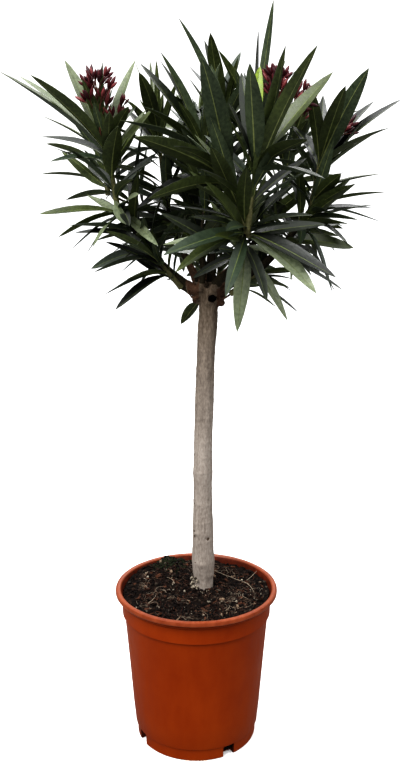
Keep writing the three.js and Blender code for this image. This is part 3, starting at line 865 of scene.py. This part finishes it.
# (bearing, height)
KNOTS = ((1.25, 548), (-1.35, 505), (-1.3, 484), (1.2, 402), (-1.3, 398), (0.5, 281), (-1.2, 330),
         (2.8, 500), (3.6, 350), (-2.2, 440), (-1.0, 291), (-0.9, 284), (-0.8, 246))
stem_top = FORK.z - 12 * MM


def stem_middle(height):
    for (low, _), (high, _) in zip(stem, stem[1:]):
        if height <= high.z:
            return low.lerp(high, max(0, (height - low.z) / max(high.z - low.z, 1e-6)))
    return stem[-1][0]


def bark_push(place):
    """How far the bark stands out at a place, in mm."""
    level = place.z / MM
    grain = Vector((place.x * 210, place.y * 210, place.z * 26))
    push = 0.42 * noise.noise(grain) + 0.22 * noise.noise(grain * 2.3)
    push += 0.25 * noise.noise(place * 420)
    if place.z > stem_top:
        push *= 0.8
        ring = math.sin((place - FORK).length / (11 * MM) * math.tau)
        return push + 0.25 * max(0, ring) ** 6
    out = place - stem_middle(place.z)
    bearing = math.atan2(out.x, -out.y)
    push += 0.9 * noise.noise(Vector((out.x * 40, out.y * 40, place.z * 22)))
    for ring in NODE_RINGS:
        tilt = 2.5 * math.sin(bearing + ring)
        worn = 0.6 + 0.8 * noise.noise(out * 90)
        push += 0.55 * math.exp(-((level - ring - tilt) / 1.6) ** 2) * worn
    for turn, scar, size, height in SCARS:
        apart = abs((bearing - turn + math.pi) % math.tau - math.pi) * 14
        push += height * math.exp(-(apart / size) ** 2 - ((level - scar) / (size * 0.55)) ** 2)
    return push


wood.normal_update()
pushes = [(vertex, vertex.normal * bark_push(vertex.co) * MM) for vertex in wood.verts]
for vertex, push in pushes:
    vertex.co += push
print("bark pushed by up to", round(max(push.length for _, push in pushes) / MM, 1), "mm")

# %% [markdown]
# The wound faces the front. Its hollow is pushed straight back into the wood, deepest in
# the middle, and a ring round it is pulled forward as the callus that grows over a cut.

# %% The wound
WOUND = FORK + Vector((7.5, -13.5, 7)) * MM
WOUND_RADIUS = 5.5
WOUND_DEPTH = 7.0
CALLUS_HEIGHT = 0.9


def in_wound_reach(place):
    return place.y <= FORK.y and abs(place.y - WOUND.y) <= 14 * MM


for vertex in wood.verts:
    hollow = (vertex.co - WOUND).xz.length / MM
    if not in_wound_reach(vertex.co):
        continue
    if hollow < 6:
        depth = WOUND_DEPTH * max(0, 1 - (hollow / WOUND_RADIUS) ** 4)
        vertex.co += Vector((-0.15, 1, 0)) * depth * MM
    elif hollow < 10:
        vertex.co.y -= CALLUS_HEIGHT * MM * math.sin((hollow - 6.5) / 3.5 * math.pi)
print("wound at", [round(c / MM, 1) for c in WOUND])

# %% [markdown]
# The stem is weathered to a pale grey-beige. Towards the crown it is painted browner and
# darker, partly a browner bark and partly painted shade under the crown. The boughs keep an
# olive brown and the collars are warmer. The wound's hollow is painted nearly black, as
# painted shade. Base colours are given by place, and the streaks and specks come from the
# uneven group.

# %% Bark finishes
old_bark = layered_material(
    "pale_bark",
    dict(low=colour(130, 120, 111), high=colour(170, 160, 151), scale=120.0, stretch=0.12),
    dict(low=colour(98, 87, 78), high=colour(190, 181, 172), scale=480.0, stretch=0.4, reach=(0.25, 0.72)),
    mix=0.42, roughness=(0.78, 0.92), bump=0.6, depth=0.6, Specular_IOR_Level=0.2,
    # Above the start height the stem is painted browner and darker: partly its own browner bark, partly
    # painted shade under the crown.
    upper=dict(
        broad=dict(low=colour(72, 60, 48), high=colour(126, 112, 96), scale=120.0, stretch=0.12),
        fine=dict(low=colour(60, 48, 38), high=colour(142, 128, 112), scale=480.0, stretch=0.4),
        start=0.4, end=0.61))
bough_bark = layered_material(
    "olive_bark",
    dict(low=colour(30, 26, 18), high=colour(54, 48, 33), scale=120.0, stretch=0.5),
    dict(low=colour(24, 20, 14), high=colour(74, 66, 48), scale=500.0, reach=(0.25, 0.8)),
    mix=0.4, roughness=(0.7, 0.85), bump=0.5, depth=0.4, Specular_IOR_Level=0.2)
collar_bark = layered_material(
    "collar_bark",
    dict(low=colour(64, 44, 34), high=colour(112, 82, 64), scale=110.0, stretch=0.5),
    dict(low=colour(38, 26, 20), high=colour(134, 108, 88), scale=480.0, reach=(0.25, 0.8)),
    mix=0.5, roughness=(0.7, 0.85), bump=0.6, depth=0.6, Specular_IOR_Level=0.2)
knot_bark = layered_material(
    "knot_bark",
    dict(low=colour(58, 46, 38), high=colour(96, 82, 70), scale=160.0),
    dict(low=colour(44, 34, 28), high=colour(120, 104, 90), scale=600.0),
    mix=0.5, roughness=(0.8, 0.95), bump=0.5, depth=0.5, Specular_IOR_Level=0.15)
# Painted shade: the wound's hollow is coloured nearly black for the shade inside it.
wound_painted_shade = layered_material(
    "wound_painted_shade",
    dict(low=colour(12, 9, 8), high=colour(28, 20, 16), scale=160.0),
    dict(low=colour(10, 8, 7), high=colour(36, 26, 20), scale=600.0),
    mix=0.5, roughness=(0.85, 0.95), bump=0.5, depth=0.5, Specular_IOR_Level=0.08)

# %% [markdown]
# Each face is dealt its bark by where it lies: the wound first, then the collars round the
# fork, the boughs, and the small dark knots on the stem. Noise in the collar's reach keeps
# its edge from being a clean circle.

# %% Deal the bark out by place
KNOT_REACH = 13.4 * MM
KNOT_RADIUS = 2.2 * MM
knots = []
for bearing, level in KNOTS:
    outward = Vector((math.sin(bearing), -math.cos(bearing), 0))
    knots.append(stem_middle(level * MM) + outward * KNOT_REACH)
for face in wood.faces:
    middle = face.calc_center_median()
    from_axis = (middle.xy - FORK.xy).length / MM + 3 * noise.noise(middle * 110)
    in_front = middle.y < FORK.y and abs(middle.x - 15 * MM) < 11 * MM
    # The wound's faces get the nearly black finish, painted shade for its hollow.
    if (middle - WOUND).xz.length < 5.2 * MM and in_wound_reach(middle):
        face.material_index = 3
    elif middle.z > FORK.z - 10 * MM and 15 < from_axis < 30 and not in_front:
        face.material_index = 2
    elif middle.z > FORK.z + 26 * MM or (middle.xy - FORK.xy).length > 30 * MM:
        face.material_index = 1
    elif any((middle - knot).length < KNOT_RADIUS for knot in knots):
        face.material_index = 4
wood_nodes = ["trunk"] + limb_names
barks = [old_bark, bough_bark, collar_bark, wound_painted_shade, knot_bark]
new_piece("stem_and_boughs", wood, barks, wood_nodes, sharp=80)

# %% [markdown]
# ## Shoots
# Each mass of leaves grows on one shoot. Most shoots carry on from a bough's end, and the
# rest are the leafy stretches lower on a bough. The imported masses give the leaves' tips,
# and this small table says how each shoot runs: the bough it belongs to, and either the
# way it leans in millimetres, or the stretch of the bough that it covers.

# %% Shoots and their lines
# mass: (bough, lean of the shoot from the bough's end in mm)
HEADS = {
    "left": ("left", (-9, -10, 66)), "right": ("right", (8, -4, 52)),
    "front_right": ("front", (7, -5, 66)), "front_left": ("front", (-22, 6, 60)),
    "centre": ("centre", (3, 4, 54)), "high_right": ("high_right", (6, 4, 46)),
    "mid_left": ("mid_left", (-4, 1, 58)), "back_left": ("back_left", (-8, 10, 66)),
    "back_right": ("back_right", (9, 9, 48)), "back": ("back", (0, 9, 62)),
    "far_left": ("far_left", (-9, 11, 56)), "low_left": ("low_left", (-24, -10, 30)),
    "low_right": ("low_right", (34, 2, 26)), "low_back": ("low_back", (4, 32, 36)),
}
# mass: (bough, start, stop) as shares of the bough's length
STRETCHES = {
    "left_skirt": ("left", 0.62, 0.99), "right_skirt": ("right", 0.66, 0.99),
    "front_skirt": ("front", 0.55, 0.96), "back_skirt": ("back", 0.45, 0.97),
    "inner_left": ("back_left", 0.3, 0.8), "inner_centre": ("centre", 0.35, 0.8),
    "inner_right": ("back_right", 0.3, 0.82),
}


def on_line(line, share):
    fine = resampled(line, 41)
    return fine[round(share * 40)][0].copy()


shoots = {}
for mass, (bough, lean) in HEADS.items():
    end = bough_lines[bough][-1][0]
    if mass == "front_left":
        end = on_line(bough_lines[bough], 0.95)
    shoots[mass] = (end.copy(), end + Vector(lean) * MM)
for mass, (bough, start, stop) in STRETCHES.items():
    shoots[mass] = (on_line(bough_lines[bough], start), on_line(bough_lines[bough], stop))
print(len(shoots), "shoots for", len(mass_names), "masses")

# %% [markdown]
# A real shoot is green-brown at first and green near its tip; here it has one olive-green
# finish all along. It thins from the thickness of a pencil to that of a straw, and its foot
# starts a little inside the bough.

# %% Shoot stems
stems = bmesh.new()
for mass in HEADS:
    start, tip = shoots[mass]
    heading = (tip - start).normalized()
    foot_station = (start - heading * 9 * MM, 3.9 * MM)
    tip_station = (tip + heading * 4 * MM, 1.7 * MM)
    grow_tube(stems, resampled([foot_station, tip_station], 8), sides=9)
bmesh.ops.recalc_face_normals(stems, faces=stems.faces)
shoot_bark = layered_material(
    "green_shoot",
    dict(low=colour(76, 78, 46), high=colour(108, 106, 68), scale=80.0),
    dict(low=colour(70, 66, 42), high=colour(128, 124, 86), scale=420.0),
    mix=0.4, roughness=(0.5, 0.65), bump=0.3, depth=0.2)
new_piece("shoot_stems", stems, [shoot_bark], sharp=60)

# %% [markdown]
# ## One leaf
# An oleander leaf is a stiff lance shape, folded a little along a pale midrib, and ends
# in a sharp point. It is made once from a small grid, three strips wide: half blade,
# midrib, half blade. The rows are drawn in to the outline, the halves tilted up, and the
# sheet given a thickness, so that the leaf is a closed solid of a few dozen faces.

# %% Leaf template
ROW_SHARES = (0.0, 0.07, 0.17, 0.3, 0.43, 0.56, 0.69, 0.81, 0.92, 1.0)
LEAF_ROWS = len(ROW_SHARES) - 1
FOLD = 0.56
LEAF_THICKNESS = 0.022


def half_width(share):
    """Half the leaf's width at a share of its length, as a share of its full width."""
    blade = math.sin(math.pi * share ** 0.98) ** 0.74 if 0 < share < 1 else 0
    return max(0.5 * blade * min(1, 0.25 + share * 3.4), 0.05 * (1 - share))


def on_rib(face):
    return abs(face.calc_center_median().x) < 0.01


def make_leaf_template():
    """A leaf one unit long on Y; slots: 0 upper side, 1 midrib, 2 underside, 3 its midrib."""
    leaf = bmesh.new()
    bmesh.ops.create_grid(leaf, x_segments=3, y_segments=LEAF_ROWS, size=0.5)
    for vertex in leaf.verts:
        row = round((vertex.co.y + 0.5) * LEAF_ROWS)
        column = round((vertex.co.x + 0.5) * 3)
        share = ROW_SHARES[row]
        half = half_width(share)
        rib = min(0.034 * (1.15 - share), half * 0.7)
        across = (-half, -rib, rib, half)[column]
        height = FOLD * (abs(across) - rib) * (1 - 0.4 * share)
        if column in (1, 2) and half > 0.1:
            height += 0.012
        vertex.co = Vector((across, share, height))
    bmesh.ops.remove_doubles(leaf, verts=leaf.verts, dist=0.0005)
    bmesh.ops.recalc_face_normals(leaf, faces=leaf.faces)
    if sum(face.normal.z for face in leaf.faces) < 0:
        bmesh.ops.reverse_faces(leaf, faces=leaf.faces)
    for face in leaf.faces:
        face.material_index = 1 if on_rib(face) else 0
    bmesh.ops.solidify(leaf, geom=leaf.faces[:], thickness=LEAF_THICKNESS)
    for face in leaf.faces:
        face.normal_update()
        if face.normal.z < -0.05:
            face.material_index = 3 if on_rib(face) else 2
    return template_of(leaf, "leaf")


leaf_mesh = make_leaf_template()
print("leaf template", len(leaf_mesh.polygons), "faces")


# %% [markdown]
# ## Leaf finishes
# The upper side is dark green with a waxy gloss and the underside a paler, duller olive.
# Leaves differ a little by age, so there are several uppers and two undersides, and each
# leaf is dealt one of each. Two of the uppers are painted light and shade: the darkest is a
# darker copy of the dark green, painted shade for leaves deep in the crown, and the pale grey
# one is a painted sheen for hanging leaves that would mirror the bright sky. The midribs have
# a pale finish of their own.

# %% Leaf materials
def leaf_material(name, low, high, roughness, **more):
    return layered_material(
        name,
        dict(low=colour(*low), high=colour(*high), scale=24.0),
        dict(low=shaded(low, 0.82), high=shaded(high, 1.12), scale=260.0),
        mix=0.4, roughness=roughness, bump=0.4, depth=0.2, **more)


UPPERS = [
    # Painted shade: a darker copy of the dark green, for leaves deep in the crown.
    leaf_material("leaf_painted_shade", (8, 12, 7), (18, 25, 12), (0.34, 0.46), Specular_IOR_Level=0.85),
    leaf_material("leaf_dark", (17, 24, 11), (31, 40, 19), (0.34, 0.46), Specular_IOR_Level=0.85),
    leaf_material("leaf_blue", (33, 45, 31), (55, 68, 49), (0.34, 0.44), Specular_IOR_Level=0.9),
    leaf_material("leaf_olive", (50, 60, 27), (75, 85, 41), (0.38, 0.48), Specular_IOR_Level=0.7),
    # Painted sheen: a pale grey-green that stands for the bright sky mirrored in hanging leaves.
    leaf_material("leaf_painted_sheen", (94, 104, 79), (128, 136, 108), (0.38, 0.48), Specular_IOR_Level=0.7),
    leaf_material("leaf_young", (96, 116, 30), (128, 148, 44), (0.36, 0.48)),
]
UNDERS = [
    leaf_material("under_olive", (52, 61, 31), (80, 90, 50), (0.46, 0.58), Specular_IOR_Level=0.4),
    leaf_material("under_grey", (52, 63, 45), (84, 95, 70), (0.46, 0.58), Specular_IOR_Level=0.4),
]
RIB = leaf_material("midrib", (86, 96, 52), (112, 122, 72), (0.42, 0.52))
UNDER_RIB = leaf_material("under_midrib", (112, 120, 72), (142, 148, 96), (0.48, 0.58))
LEAF_MATERIALS = UPPERS + UNDERS + [RIB, UNDER_RIB]
YOUNG = 5

# %% [markdown]
# ## Placing a leaf
# A leaf is laid along a cubic curve from its place on the shoot to its tip. It leaves the
# shoot steeply and then levels out, and its upper side faces up the shoot. Each leaf
# gets its own small roll and twist, and a bend to one side.

# %% Helper that lays one leaf
def cubic(points, share):
    """A place on a cubic curve and the direction there."""
    a, b, c, d = points
    rest = 1 - share
    place = a * rest ** 3 + b * 3 * rest ** 2 * share + c * 3 * rest * share ** 2 + d * share ** 3
    along = (b - a) * rest ** 2 + (c - b) * 2 * rest * share + (d - c) * share ** 2
    return place, along.normalized()


# how far the curve's inner points stand from its ends, as a share of the leaf's reach
HANDLE = 0.34


def lay_leaf(bm, base, tip, axis, width, chance, upper, lift=0.35, droop=0.12, roll=0.3):
    """Lays a leaf from base to tip on a shoot that runs along axis; upper picks its finish."""
    chord = tip - base
    reach = chord.length
    out = chord.normalized()
    inner = axis - out * axis.dot(out)
    if inner.length < 0.2:
        inner = inner + UP * 0.2 - out * UP.dot(out) * 0.2
    side = out.cross(inner.normalized()).normalized()
    start = (out + axis * lift).normalized()
    finish = (out - UP * droop).normalized()
    sideways = side * reach * chance.uniform(-0.035, 0.035)
    after_base = base + start * reach * HANDLE + sideways
    before_tip = tip - finish * reach * HANDLE + sideways
    points = (base, after_base, before_tip, tip)
    turn, twist = chance.gauss(0, roll), chance.gauss(0, 0.22)
    under = len(UPPERS) + chance.randrange(len(UNDERS))
    look = (upper, len(LEAF_MATERIALS) - 2, under, len(LEAF_MATERIALS) - 1)
    first_vertex, first_face = len(bm.verts), len(bm.faces)
    bm.from_mesh(leaf_mesh)
    bm.verts.ensure_lookup_table()
    bm.faces.ensure_lookup_table()
    for vertex in bm.verts[first_vertex:]:
        across, share, height = vertex.co
        place, heading = cubic(points, share)
        beside = Matrix.Rotation(turn + twist * share, 3, heading) @ side
        above = beside.cross(heading).normalized()
        beside = heading.cross(above)
        vertex.co = place + (beside * across + above * height) * width
    for face in bm.faces[first_face:]:
        face.material_index = look[face.material_index]


# %% [markdown]
# ## Where the leaves go
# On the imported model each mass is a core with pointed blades, and a blade's point is the
# tip of a leading leaf. A point is found by its sharpness: the corners of the faces that
# meet there add up to little. The leaf's foot is the place on the shoot that its blade
# points back to.

# %% Helpers that read the leading leaves
def blade_tips(name):
    """(place, direction) of each pointed blade on a packed mass."""
    solid = merged_copy(name)
    tips = []
    for vertex in solid.verts:
        corners = sum(loop.calc_angle() for loop in vertex.link_loops)
        if corners < math.radians(80):
            ring = [edge.other_vert(vertex).co for edge in vertex.link_edges]
            behind = sum(ring, Vector()) / len(ring)
            tips.append((vertex.co.copy(), (vertex.co - behind).normalized()))
    solid.free()
    return tips


def foot_on_shoot(tip, heading, start, end):
    """Where on the shoot a leaf with this tip begins, as a share of the shoot."""
    axis = end - start
    pointing = (heading + UP * 0.09).normalized()
    square = pointing.cross(axis)
    if square.length < 1e-6:
        return 0.5
    normal = pointing.cross(square)
    share = (tip - start).dot(normal) / axis.dot(normal)
    return min(max(share, 0.08), 0.92)


# %% [markdown]
# ## Leaf sizes and limits
# A leaf's width follows its length. A leaf that would leave its own mass is pulled back
# along itself, and one that would hang before the cut-back top of the stem is left out,
# because that place is bare on the real plant.

# %% Sizes and limits
SHORTEST_LEADING = 45 * MM
SHORTEST_LEAF = 46 * MM
# two leaves crowd each other when the cosine between them is over this
SAME_WAY = 0.965


def leaf_width(reach):
    return min(max(reach * 0.172, 8 * MM), 26 * MM)


def shorten_into(base, tip, box, slack):
    """Pulls a tip back along its leaf until it is in its mass's box."""
    low, high = box
    share = 1.0
    for side in range(3):
        step = tip[side] - base[side]
        if step > 0 and tip[side] > high[side] + slack:
            share = min(share, (high[side] + slack - base[side]) / step)
        elif step < 0 and tip[side] < low[side] - slack:
            share = min(share, (low[side] - slack - base[side]) / step)
    return base.lerp(tip, max(share, 0))


def hides_fork(base, tip):
    """Whether a leaf would hang before the cut-back top of the stem."""
    for share in (0.4, 0.6, 0.8, 1.0):
        off = base.lerp(tip, share) - FORK
        if off.y < 0 and abs(off.x) < 24 * MM and -60 * MM < off.z + off.y * 0.13 < 22 * MM:
            return True
    return False


# %% [markdown]
# ## Leading leaves
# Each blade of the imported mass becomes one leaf. Some masses have broader or narrower
# leaves than usual, and the upright blades at the back are thin ones seen edge on.

# %% Lay the leading leaves
BREADTH = 0.95
BREADTHS = {"low_left": 1.3, "low_right": 1.2, "front_skirt": 0.9, "left_skirt": 0.85, "right_skirt": 0.85}
SLIM_MASSES = ("back", "high_right", "back_left", "far_left", "back_right")
SLIM_BREADTH = 0.42


def lay_leading(leaves, mass, shoot, chance, tints):
    """Lays a leaf to each blade's tip and returns the ways they point."""
    start, end = shoot
    axis = (end - start).normalized()
    ways = []
    for tip, heading in blade_tips("foliage_" + mass):
        base = start.lerp(end, foot_on_shoot(tip, heading, start, end))
        reach = (tip - base).length
        if reach < SHORTEST_LEADING:
            continue
        ways.append((tip - base).normalized())
        upper = chance.choices(range(5), tints)[0]
        width = leaf_width(reach) * chance.uniform(0.86, 1.08)
        slim = mass in SLIM_MASSES and heading.z > 0.85
        width *= SLIM_BREADTH if slim else BREADTHS.get(mass, BREADTH)
        lay_leaf(leaves, base, tip, axis, width, chance, upper, roll=0.3 if mass in HEADS else 0.22)
    return ways


# %% [markdown]
# ## Whorls by rule
# The leading leaves alone would leave a thin crown. Oleander leaves stand in threes, each
# three turned between the ones below, so whorls are grown up each shoot: nearly level at
# its foot, steeper towards its tip. A leaf is left out where another already points.
# Some boughs are leafy below their shoots too, and those stretches get whorls of their own.

# %% Grow the whorls
# rises in degrees and reaches in mm run from a stretch's foot to its tip; step is the space
# between whorls and slack the room past the mass's box, both in mm; tints weigh the finishes
# In tints the first finish is painted shade and the fifth a painted sheen: stretch masses get the sheen
# most, and the whorls along leafy boughs get the shade most and no sheen.
HEAD_WHORLS = dict(rises=(24, 66), reaches=(92, 84), step=9.5, slack=4, tints=(4, 3, 3, 3, 2))
STRETCH_WHORLS = dict(rises=(-30, 14), reaches=(104, 96), step=9.5, slack=4, tints=(2, 3, 3, 2, 4.5))
BOUGH_WHORLS = dict(rises=(6, 44), reaches=(88, 92), step=10.5, slack=22, tints=(5, 4, 2, 2, 0))
# mass: (bough, start, stop) of its leafy stretch, as shares of the bough's length
LEAFY = {
    "mid_left": ("mid_left", 0.35, 1.0), "back_left": ("back_left", 0.45, 1.0),
    "back": ("back", 0.3, 1.0), "centre": ("centre", 0.5, 1.0),
    "high_right": ("high_right", 0.1, 1.0), "far_left": ("far_left", 0.1, 1.0),
    "back_right": ("back_right", 0.45, 1.0), "right": ("right", 0.6, 1.0),
    "front_left": ("front", 0.4, 0.9), "inner_left": ("left", 0.35, 0.75),
    "inner_right": ("right", 0.25, 0.7), "inner_centre": ("back", 0.1, 0.6),
    "front_right": ("front", 0.75, 1.0),
}


def way_at(axis, bearing, tilt):
    """The way at a bearing round an axis, raised by a tilt from square to along it."""
    radial = Matrix.Rotation(bearing, 3, axis) @ axis.orthogonal().normalized()
    return radial * math.cos(tilt) + axis * math.sin(tilt)


def grow_whorls(leaves, stretch, box, taken, chance, rises, reaches, step, slack, tints):
    """Threes of leaves up a stretch, where no way in taken points the same way."""
    start, end = stretch
    axis = (end - start).normalized()
    whorls = max(3, round((end - start).length / (step * MM)))
    for whorl in range(whorls):
        share = (whorl + 0.5) / whorls
        for third in range(3):
            bearing = math.radians(120 * third + 60 * (whorl % 2)) + chance.gauss(0, 0.22)
            tilt = math.radians(rises[0] + (rises[1] - rises[0]) * share + chance.gauss(0, 9))
            way = way_at(axis, bearing, tilt)
            if any(way.dot(other) > SAME_WAY for other in taken):
                continue
            reach = (reaches[0] + (reaches[1] - reaches[0]) * share + chance.gauss(0, 9)) * MM
            base = start.lerp(end, share)
            tip = shorten_into(base, base + way * reach, box, slack * MM)
            reach = (tip - base).length
            if reach < SHORTEST_LEAF or hides_fork(base, tip):
                continue
            taken.append(way)
            upper = chance.choices(range(5), tints)[0]
            width = leaf_width(reach) * chance.uniform(0.74, 1.08)
            lay_leaf(leaves, base, tip, axis, width, chance, upper)


# %% [markdown]
# ## All the leaves
# Each mass gets its leading leaves and its whorls. Each head, a shoot that carries on from a
# bough's end, also gets five small upright leaves at its very end, and a few masses get single
# leaves with fixed places, such as a young yellow-green one. All of a mass's leaves are one
# piece, and every mass has its own seed.

# %% Grow the leaves
# mass: (foot, tip, width, finish) of single leaves, fixed numbers written from the fork in mm
# Finish 4 is the pale grey upper, a painted sheen.
SINGLE_LEAVES = {
    "left": [((-114, -30, 152), (-101, -81, 212), 23, 4)],
    "left_skirt": [((-113, -21, 127), (-93, -51, 100), 17, 4), ((-59, -25, 75), (-84, -55, 90), 16, 4)],
    "front_right": [((55, -91, 206), (60, -71, 278), 15, YOUNG)],
    "low_back": [((-9, 13, 0), (-33, 27, -32), 15, 3)],
}


def lay_crown(leaves, end, axis, box, chance):
    """Five small upright leaves at the very end of a shoot."""
    for fifth in range(5):
        bearing = math.radians(72 * fifth) + chance.gauss(0, 0.2)
        way = way_at(axis, bearing, math.radians(chance.uniform(62, 80)))
        reach = chance.uniform(34, 62) * MM
        tip = shorten_into(end, end + way * reach, box, 4 * MM)
        if (tip - end).length > 20 * MM:
            upper = chance.choice((1, 2, 3, YOUNG))
            lay_leaf(leaves, end, tip, axis, leaf_width(reach), chance, upper, lift=0.2, droop=0.0)


leaf_count = 0
for order, (mass, shoot) in enumerate(sorted(shoots.items())):
    chance = random.Random(700 + order)
    node = "foliage_" + mass
    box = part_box(node)
    axis = (shoot[1] - shoot[0]).normalized()
    whorls = HEAD_WHORLS if mass in HEADS else STRETCH_WHORLS
    leaves = bmesh.new()
    taken = lay_leading(leaves, mass, shoot, chance, whorls["tints"])
    grow_whorls(leaves, shoot, box, taken, chance, **whorls)
    if mass in LEAFY:
        bough, start, stop = LEAFY[mass]
        stretch = (on_line(bough_lines[bough], start), on_line(bough_lines[bough], stop))
        grow_whorls(leaves, stretch, box, [], chance, **BOUGH_WHORLS)
    if mass in HEADS:
        lay_crown(leaves, shoot[1], axis, box, chance)
    for base, tip, width, upper in SINGLE_LEAVES.get(mass, ()):
        base, tip = FORK + Vector(base) * MM, FORK + Vector(tip) * MM
        lay_leaf(leaves, base, tip, axis, width * MM, chance, upper)
    leaf_count += len(leaves.faces) // len(leaf_mesh.polygons)
    new_piece("leaves_" + mass, leaves, LEAF_MATERIALS, [node], sharp=50)
print(leaf_count, "leaves")

# %% [markdown]
# ## Flower buds
# The flowers are still shut: slender pointed buds, dark crimson, on short red stalks. A
# bud is a small sphere drawn out to a spindle, made once and copied.

# %% Bud template
def make_bud_template():
    bud = bmesh.new()
    bmesh.ops.create_uvsphere(bud, u_segments=6, v_segments=6, radius=0.5)
    for vertex in bud.verts:
        share = vertex.co.z + 0.5
        girth = math.sin(math.pi * min(1, share * 1.02) ** 1.15) ** 0.8 if 0 < share < 1 else 0
        ring = math.hypot(vertex.co.x, vertex.co.y)
        if ring > 1e-4:
            vertex.co.x *= 0.145 * girth / ring
            vertex.co.y *= 0.145 * girth / ring
        vertex.co.z = share
    return template_of(bud, "bud")


bud_mesh = make_bud_template()
print("bud template", len(bud_mesh.polygons), "faces")

# %% [markdown]
# Buds darken as they grow, so there are three reds, dealt out bud by bud. The stalks are a
# brown red. Both have a soft gloss.

# %% Bud finishes
bud_colours = {
    "bud_crimson": ((62, 16, 22), (92, 28, 36)), "bud_wine": ((42, 14, 18), (70, 24, 30)),
    "bud_rose": ((104, 44, 48), (136, 72, 72)),
}
BUD_MATERIALS = [
    layered_material(
        name, dict(low=colour(*low), high=colour(*high), scale=160.0),
        dict(low=colour(*low), high=shaded(high, 1.15), scale=700.0),
        mix=0.5, roughness=(0.42, 0.55), bump=0.2, depth=0.15)
    for name, (low, high) in bud_colours.items()]
stalk_material = layered_material(
    "bud_stalk", dict(low=colour(76, 38, 30), high=colour(98, 58, 40), scale=120.0),
    dict(low=colour(62, 30, 26), high=colour(112, 70, 50), scale=500.0),
    mix=0.5, roughness=(0.5, 0.6), bump=0.2, depth=0.15)
print(len(BUD_MATERIALS), "bud finishes")

# %% [markdown]
# A cluster is a main stalk with threes of side stalks up it, the lowest longest, and each
# side stalk ends in three buds round a fourth. So it is grown by two short rules, one for
# a side stalk and one for the whole cluster.

# %% Rules for a cluster
def lay_bud(bm, base, heading, size, chance):
    place = Matrix.Translation(base) @ UP.rotation_difference(heading).to_matrix().to_4x4()
    add_copy(bm, bud_mesh, place @ Matrix.Scale(size, 4), chance.choices(range(3), (5, 4, 2))[0])


def turned_from(heading, opening, bearing):
    """The heading opened sideways by an angle, at a bearing round it."""
    radial = Matrix.Rotation(bearing, 3, heading) @ heading.orthogonal().normalized()
    return (heading * math.cos(opening) + radial * math.sin(opening) + UP * 0.1).normalized()


def grow_spray(stalks, buds, base, heading, length, chance):
    """A side stalk with three buds round its end and one at its tip."""
    tip = base + heading * length
    grow_tube(stalks, [(base, 0.85 * MM), (tip, 0.7 * MM)], sides=5)
    turned = chance.uniform(0, math.tau)
    for third in range(4):
        opening = 0.1 if third == 3 else chance.uniform(0.3, 0.6)
        way = turned_from(heading, opening, turned + third * math.tau / 3)
        bud_foot = tip + way * chance.uniform(1.5, 5.5) * MM
        grow_tube(stalks, [(tip, 0.6 * MM), (bud_foot, 0.6 * MM)], sides=5)
        lay_bud(buds, bud_foot - way * 0.5 * MM, way, chance.uniform(11, 17) * MM, chance)


def grow_cluster(stalks, buds, base, heading, length, levels, chance):
    """A main stalk with threes of side stalks, the lowest longest."""
    tip = base + heading * length
    grow_tube(stalks, [(base, 1.2 * MM), (tip, 0.8 * MM)], sides=6)
    turned = chance.uniform(0, math.tau)
    for level in range(levels):
        share = 0.25 + 0.75 * level / levels
        for third in range(3):
            opening = chance.uniform(0.45, 0.8)
            way = turned_from(heading, opening, turned + level * 1.1 + third * math.tau / 3)
            side = length * (0.52 - 0.3 * share) * chance.uniform(0.75, 1.15)
            grow_spray(stalks, buds, base.lerp(tip, share), way, side, chance)
    grow_spray(stalks, buds, tip, heading, 4 * MM, chance)


# %% [markdown]
# Clusters stand at the ends of the shoots that flower. A bowed stalk leads from the
# shoot's end to the cluster's foot.

# %% Grow the bud clusters
# (mass, foot from the shoot's end in mm, length in mm, levels of side stalks, lean)
CLUSTERS = (
    ("left", (-7, -10, 14), 56, 5, (-0.05, -0.2, 1)),
    ("left", (8, -5, 22), 20, 1, (0.45, -0.2, 1)),
    ("front_right", (31, 40, 48), 46, 5, (-0.12, 0.1, 1)),
    ("front_right", (34, 44, 54), 30, 2, (0.6, 0.1, 0.75)),
    ("back_right", (2, -4, 14), 40, 3, (0.1, -0.3, 1)),
    ("right", (22, 6, 27), 14, 1, (0.75, 0.2, 0.85)),
    ("back", (0, 3, 3), 22, 1, (0, 0.9, 0.7)),
)
chance = random.Random(97)
stalks, buds = bmesh.new(), bmesh.new()
for mass, offset, length, levels, lean in CLUSTERS:
    start, end = shoots[mass]
    foot_of_cluster = end + Vector(offset) * MM
    bow = (end - start).normalized() * 0.3 * (foot_of_cluster - end).length
    middle = end.lerp(foot_of_cluster, 0.5) + bow
    grow_tube(stalks, [(end, 1.5 * MM), (middle, 1.3 * MM), (foot_of_cluster, 1.2 * MM)], sides=7)
    heading = Vector(lean).normalized()
    grow_cluster(stalks, buds, foot_of_cluster, heading, length * MM, levels, chance)
bmesh.ops.recalc_face_normals(stalks, faces=stalks.faces)
bmesh.ops.recalc_face_normals(buds, faces=buds.faces)
new_piece("bud_stalks", stalks, [stalk_material], sharp=60)
new_piece("flower_buds", buds, BUD_MATERIALS, sharp=70)
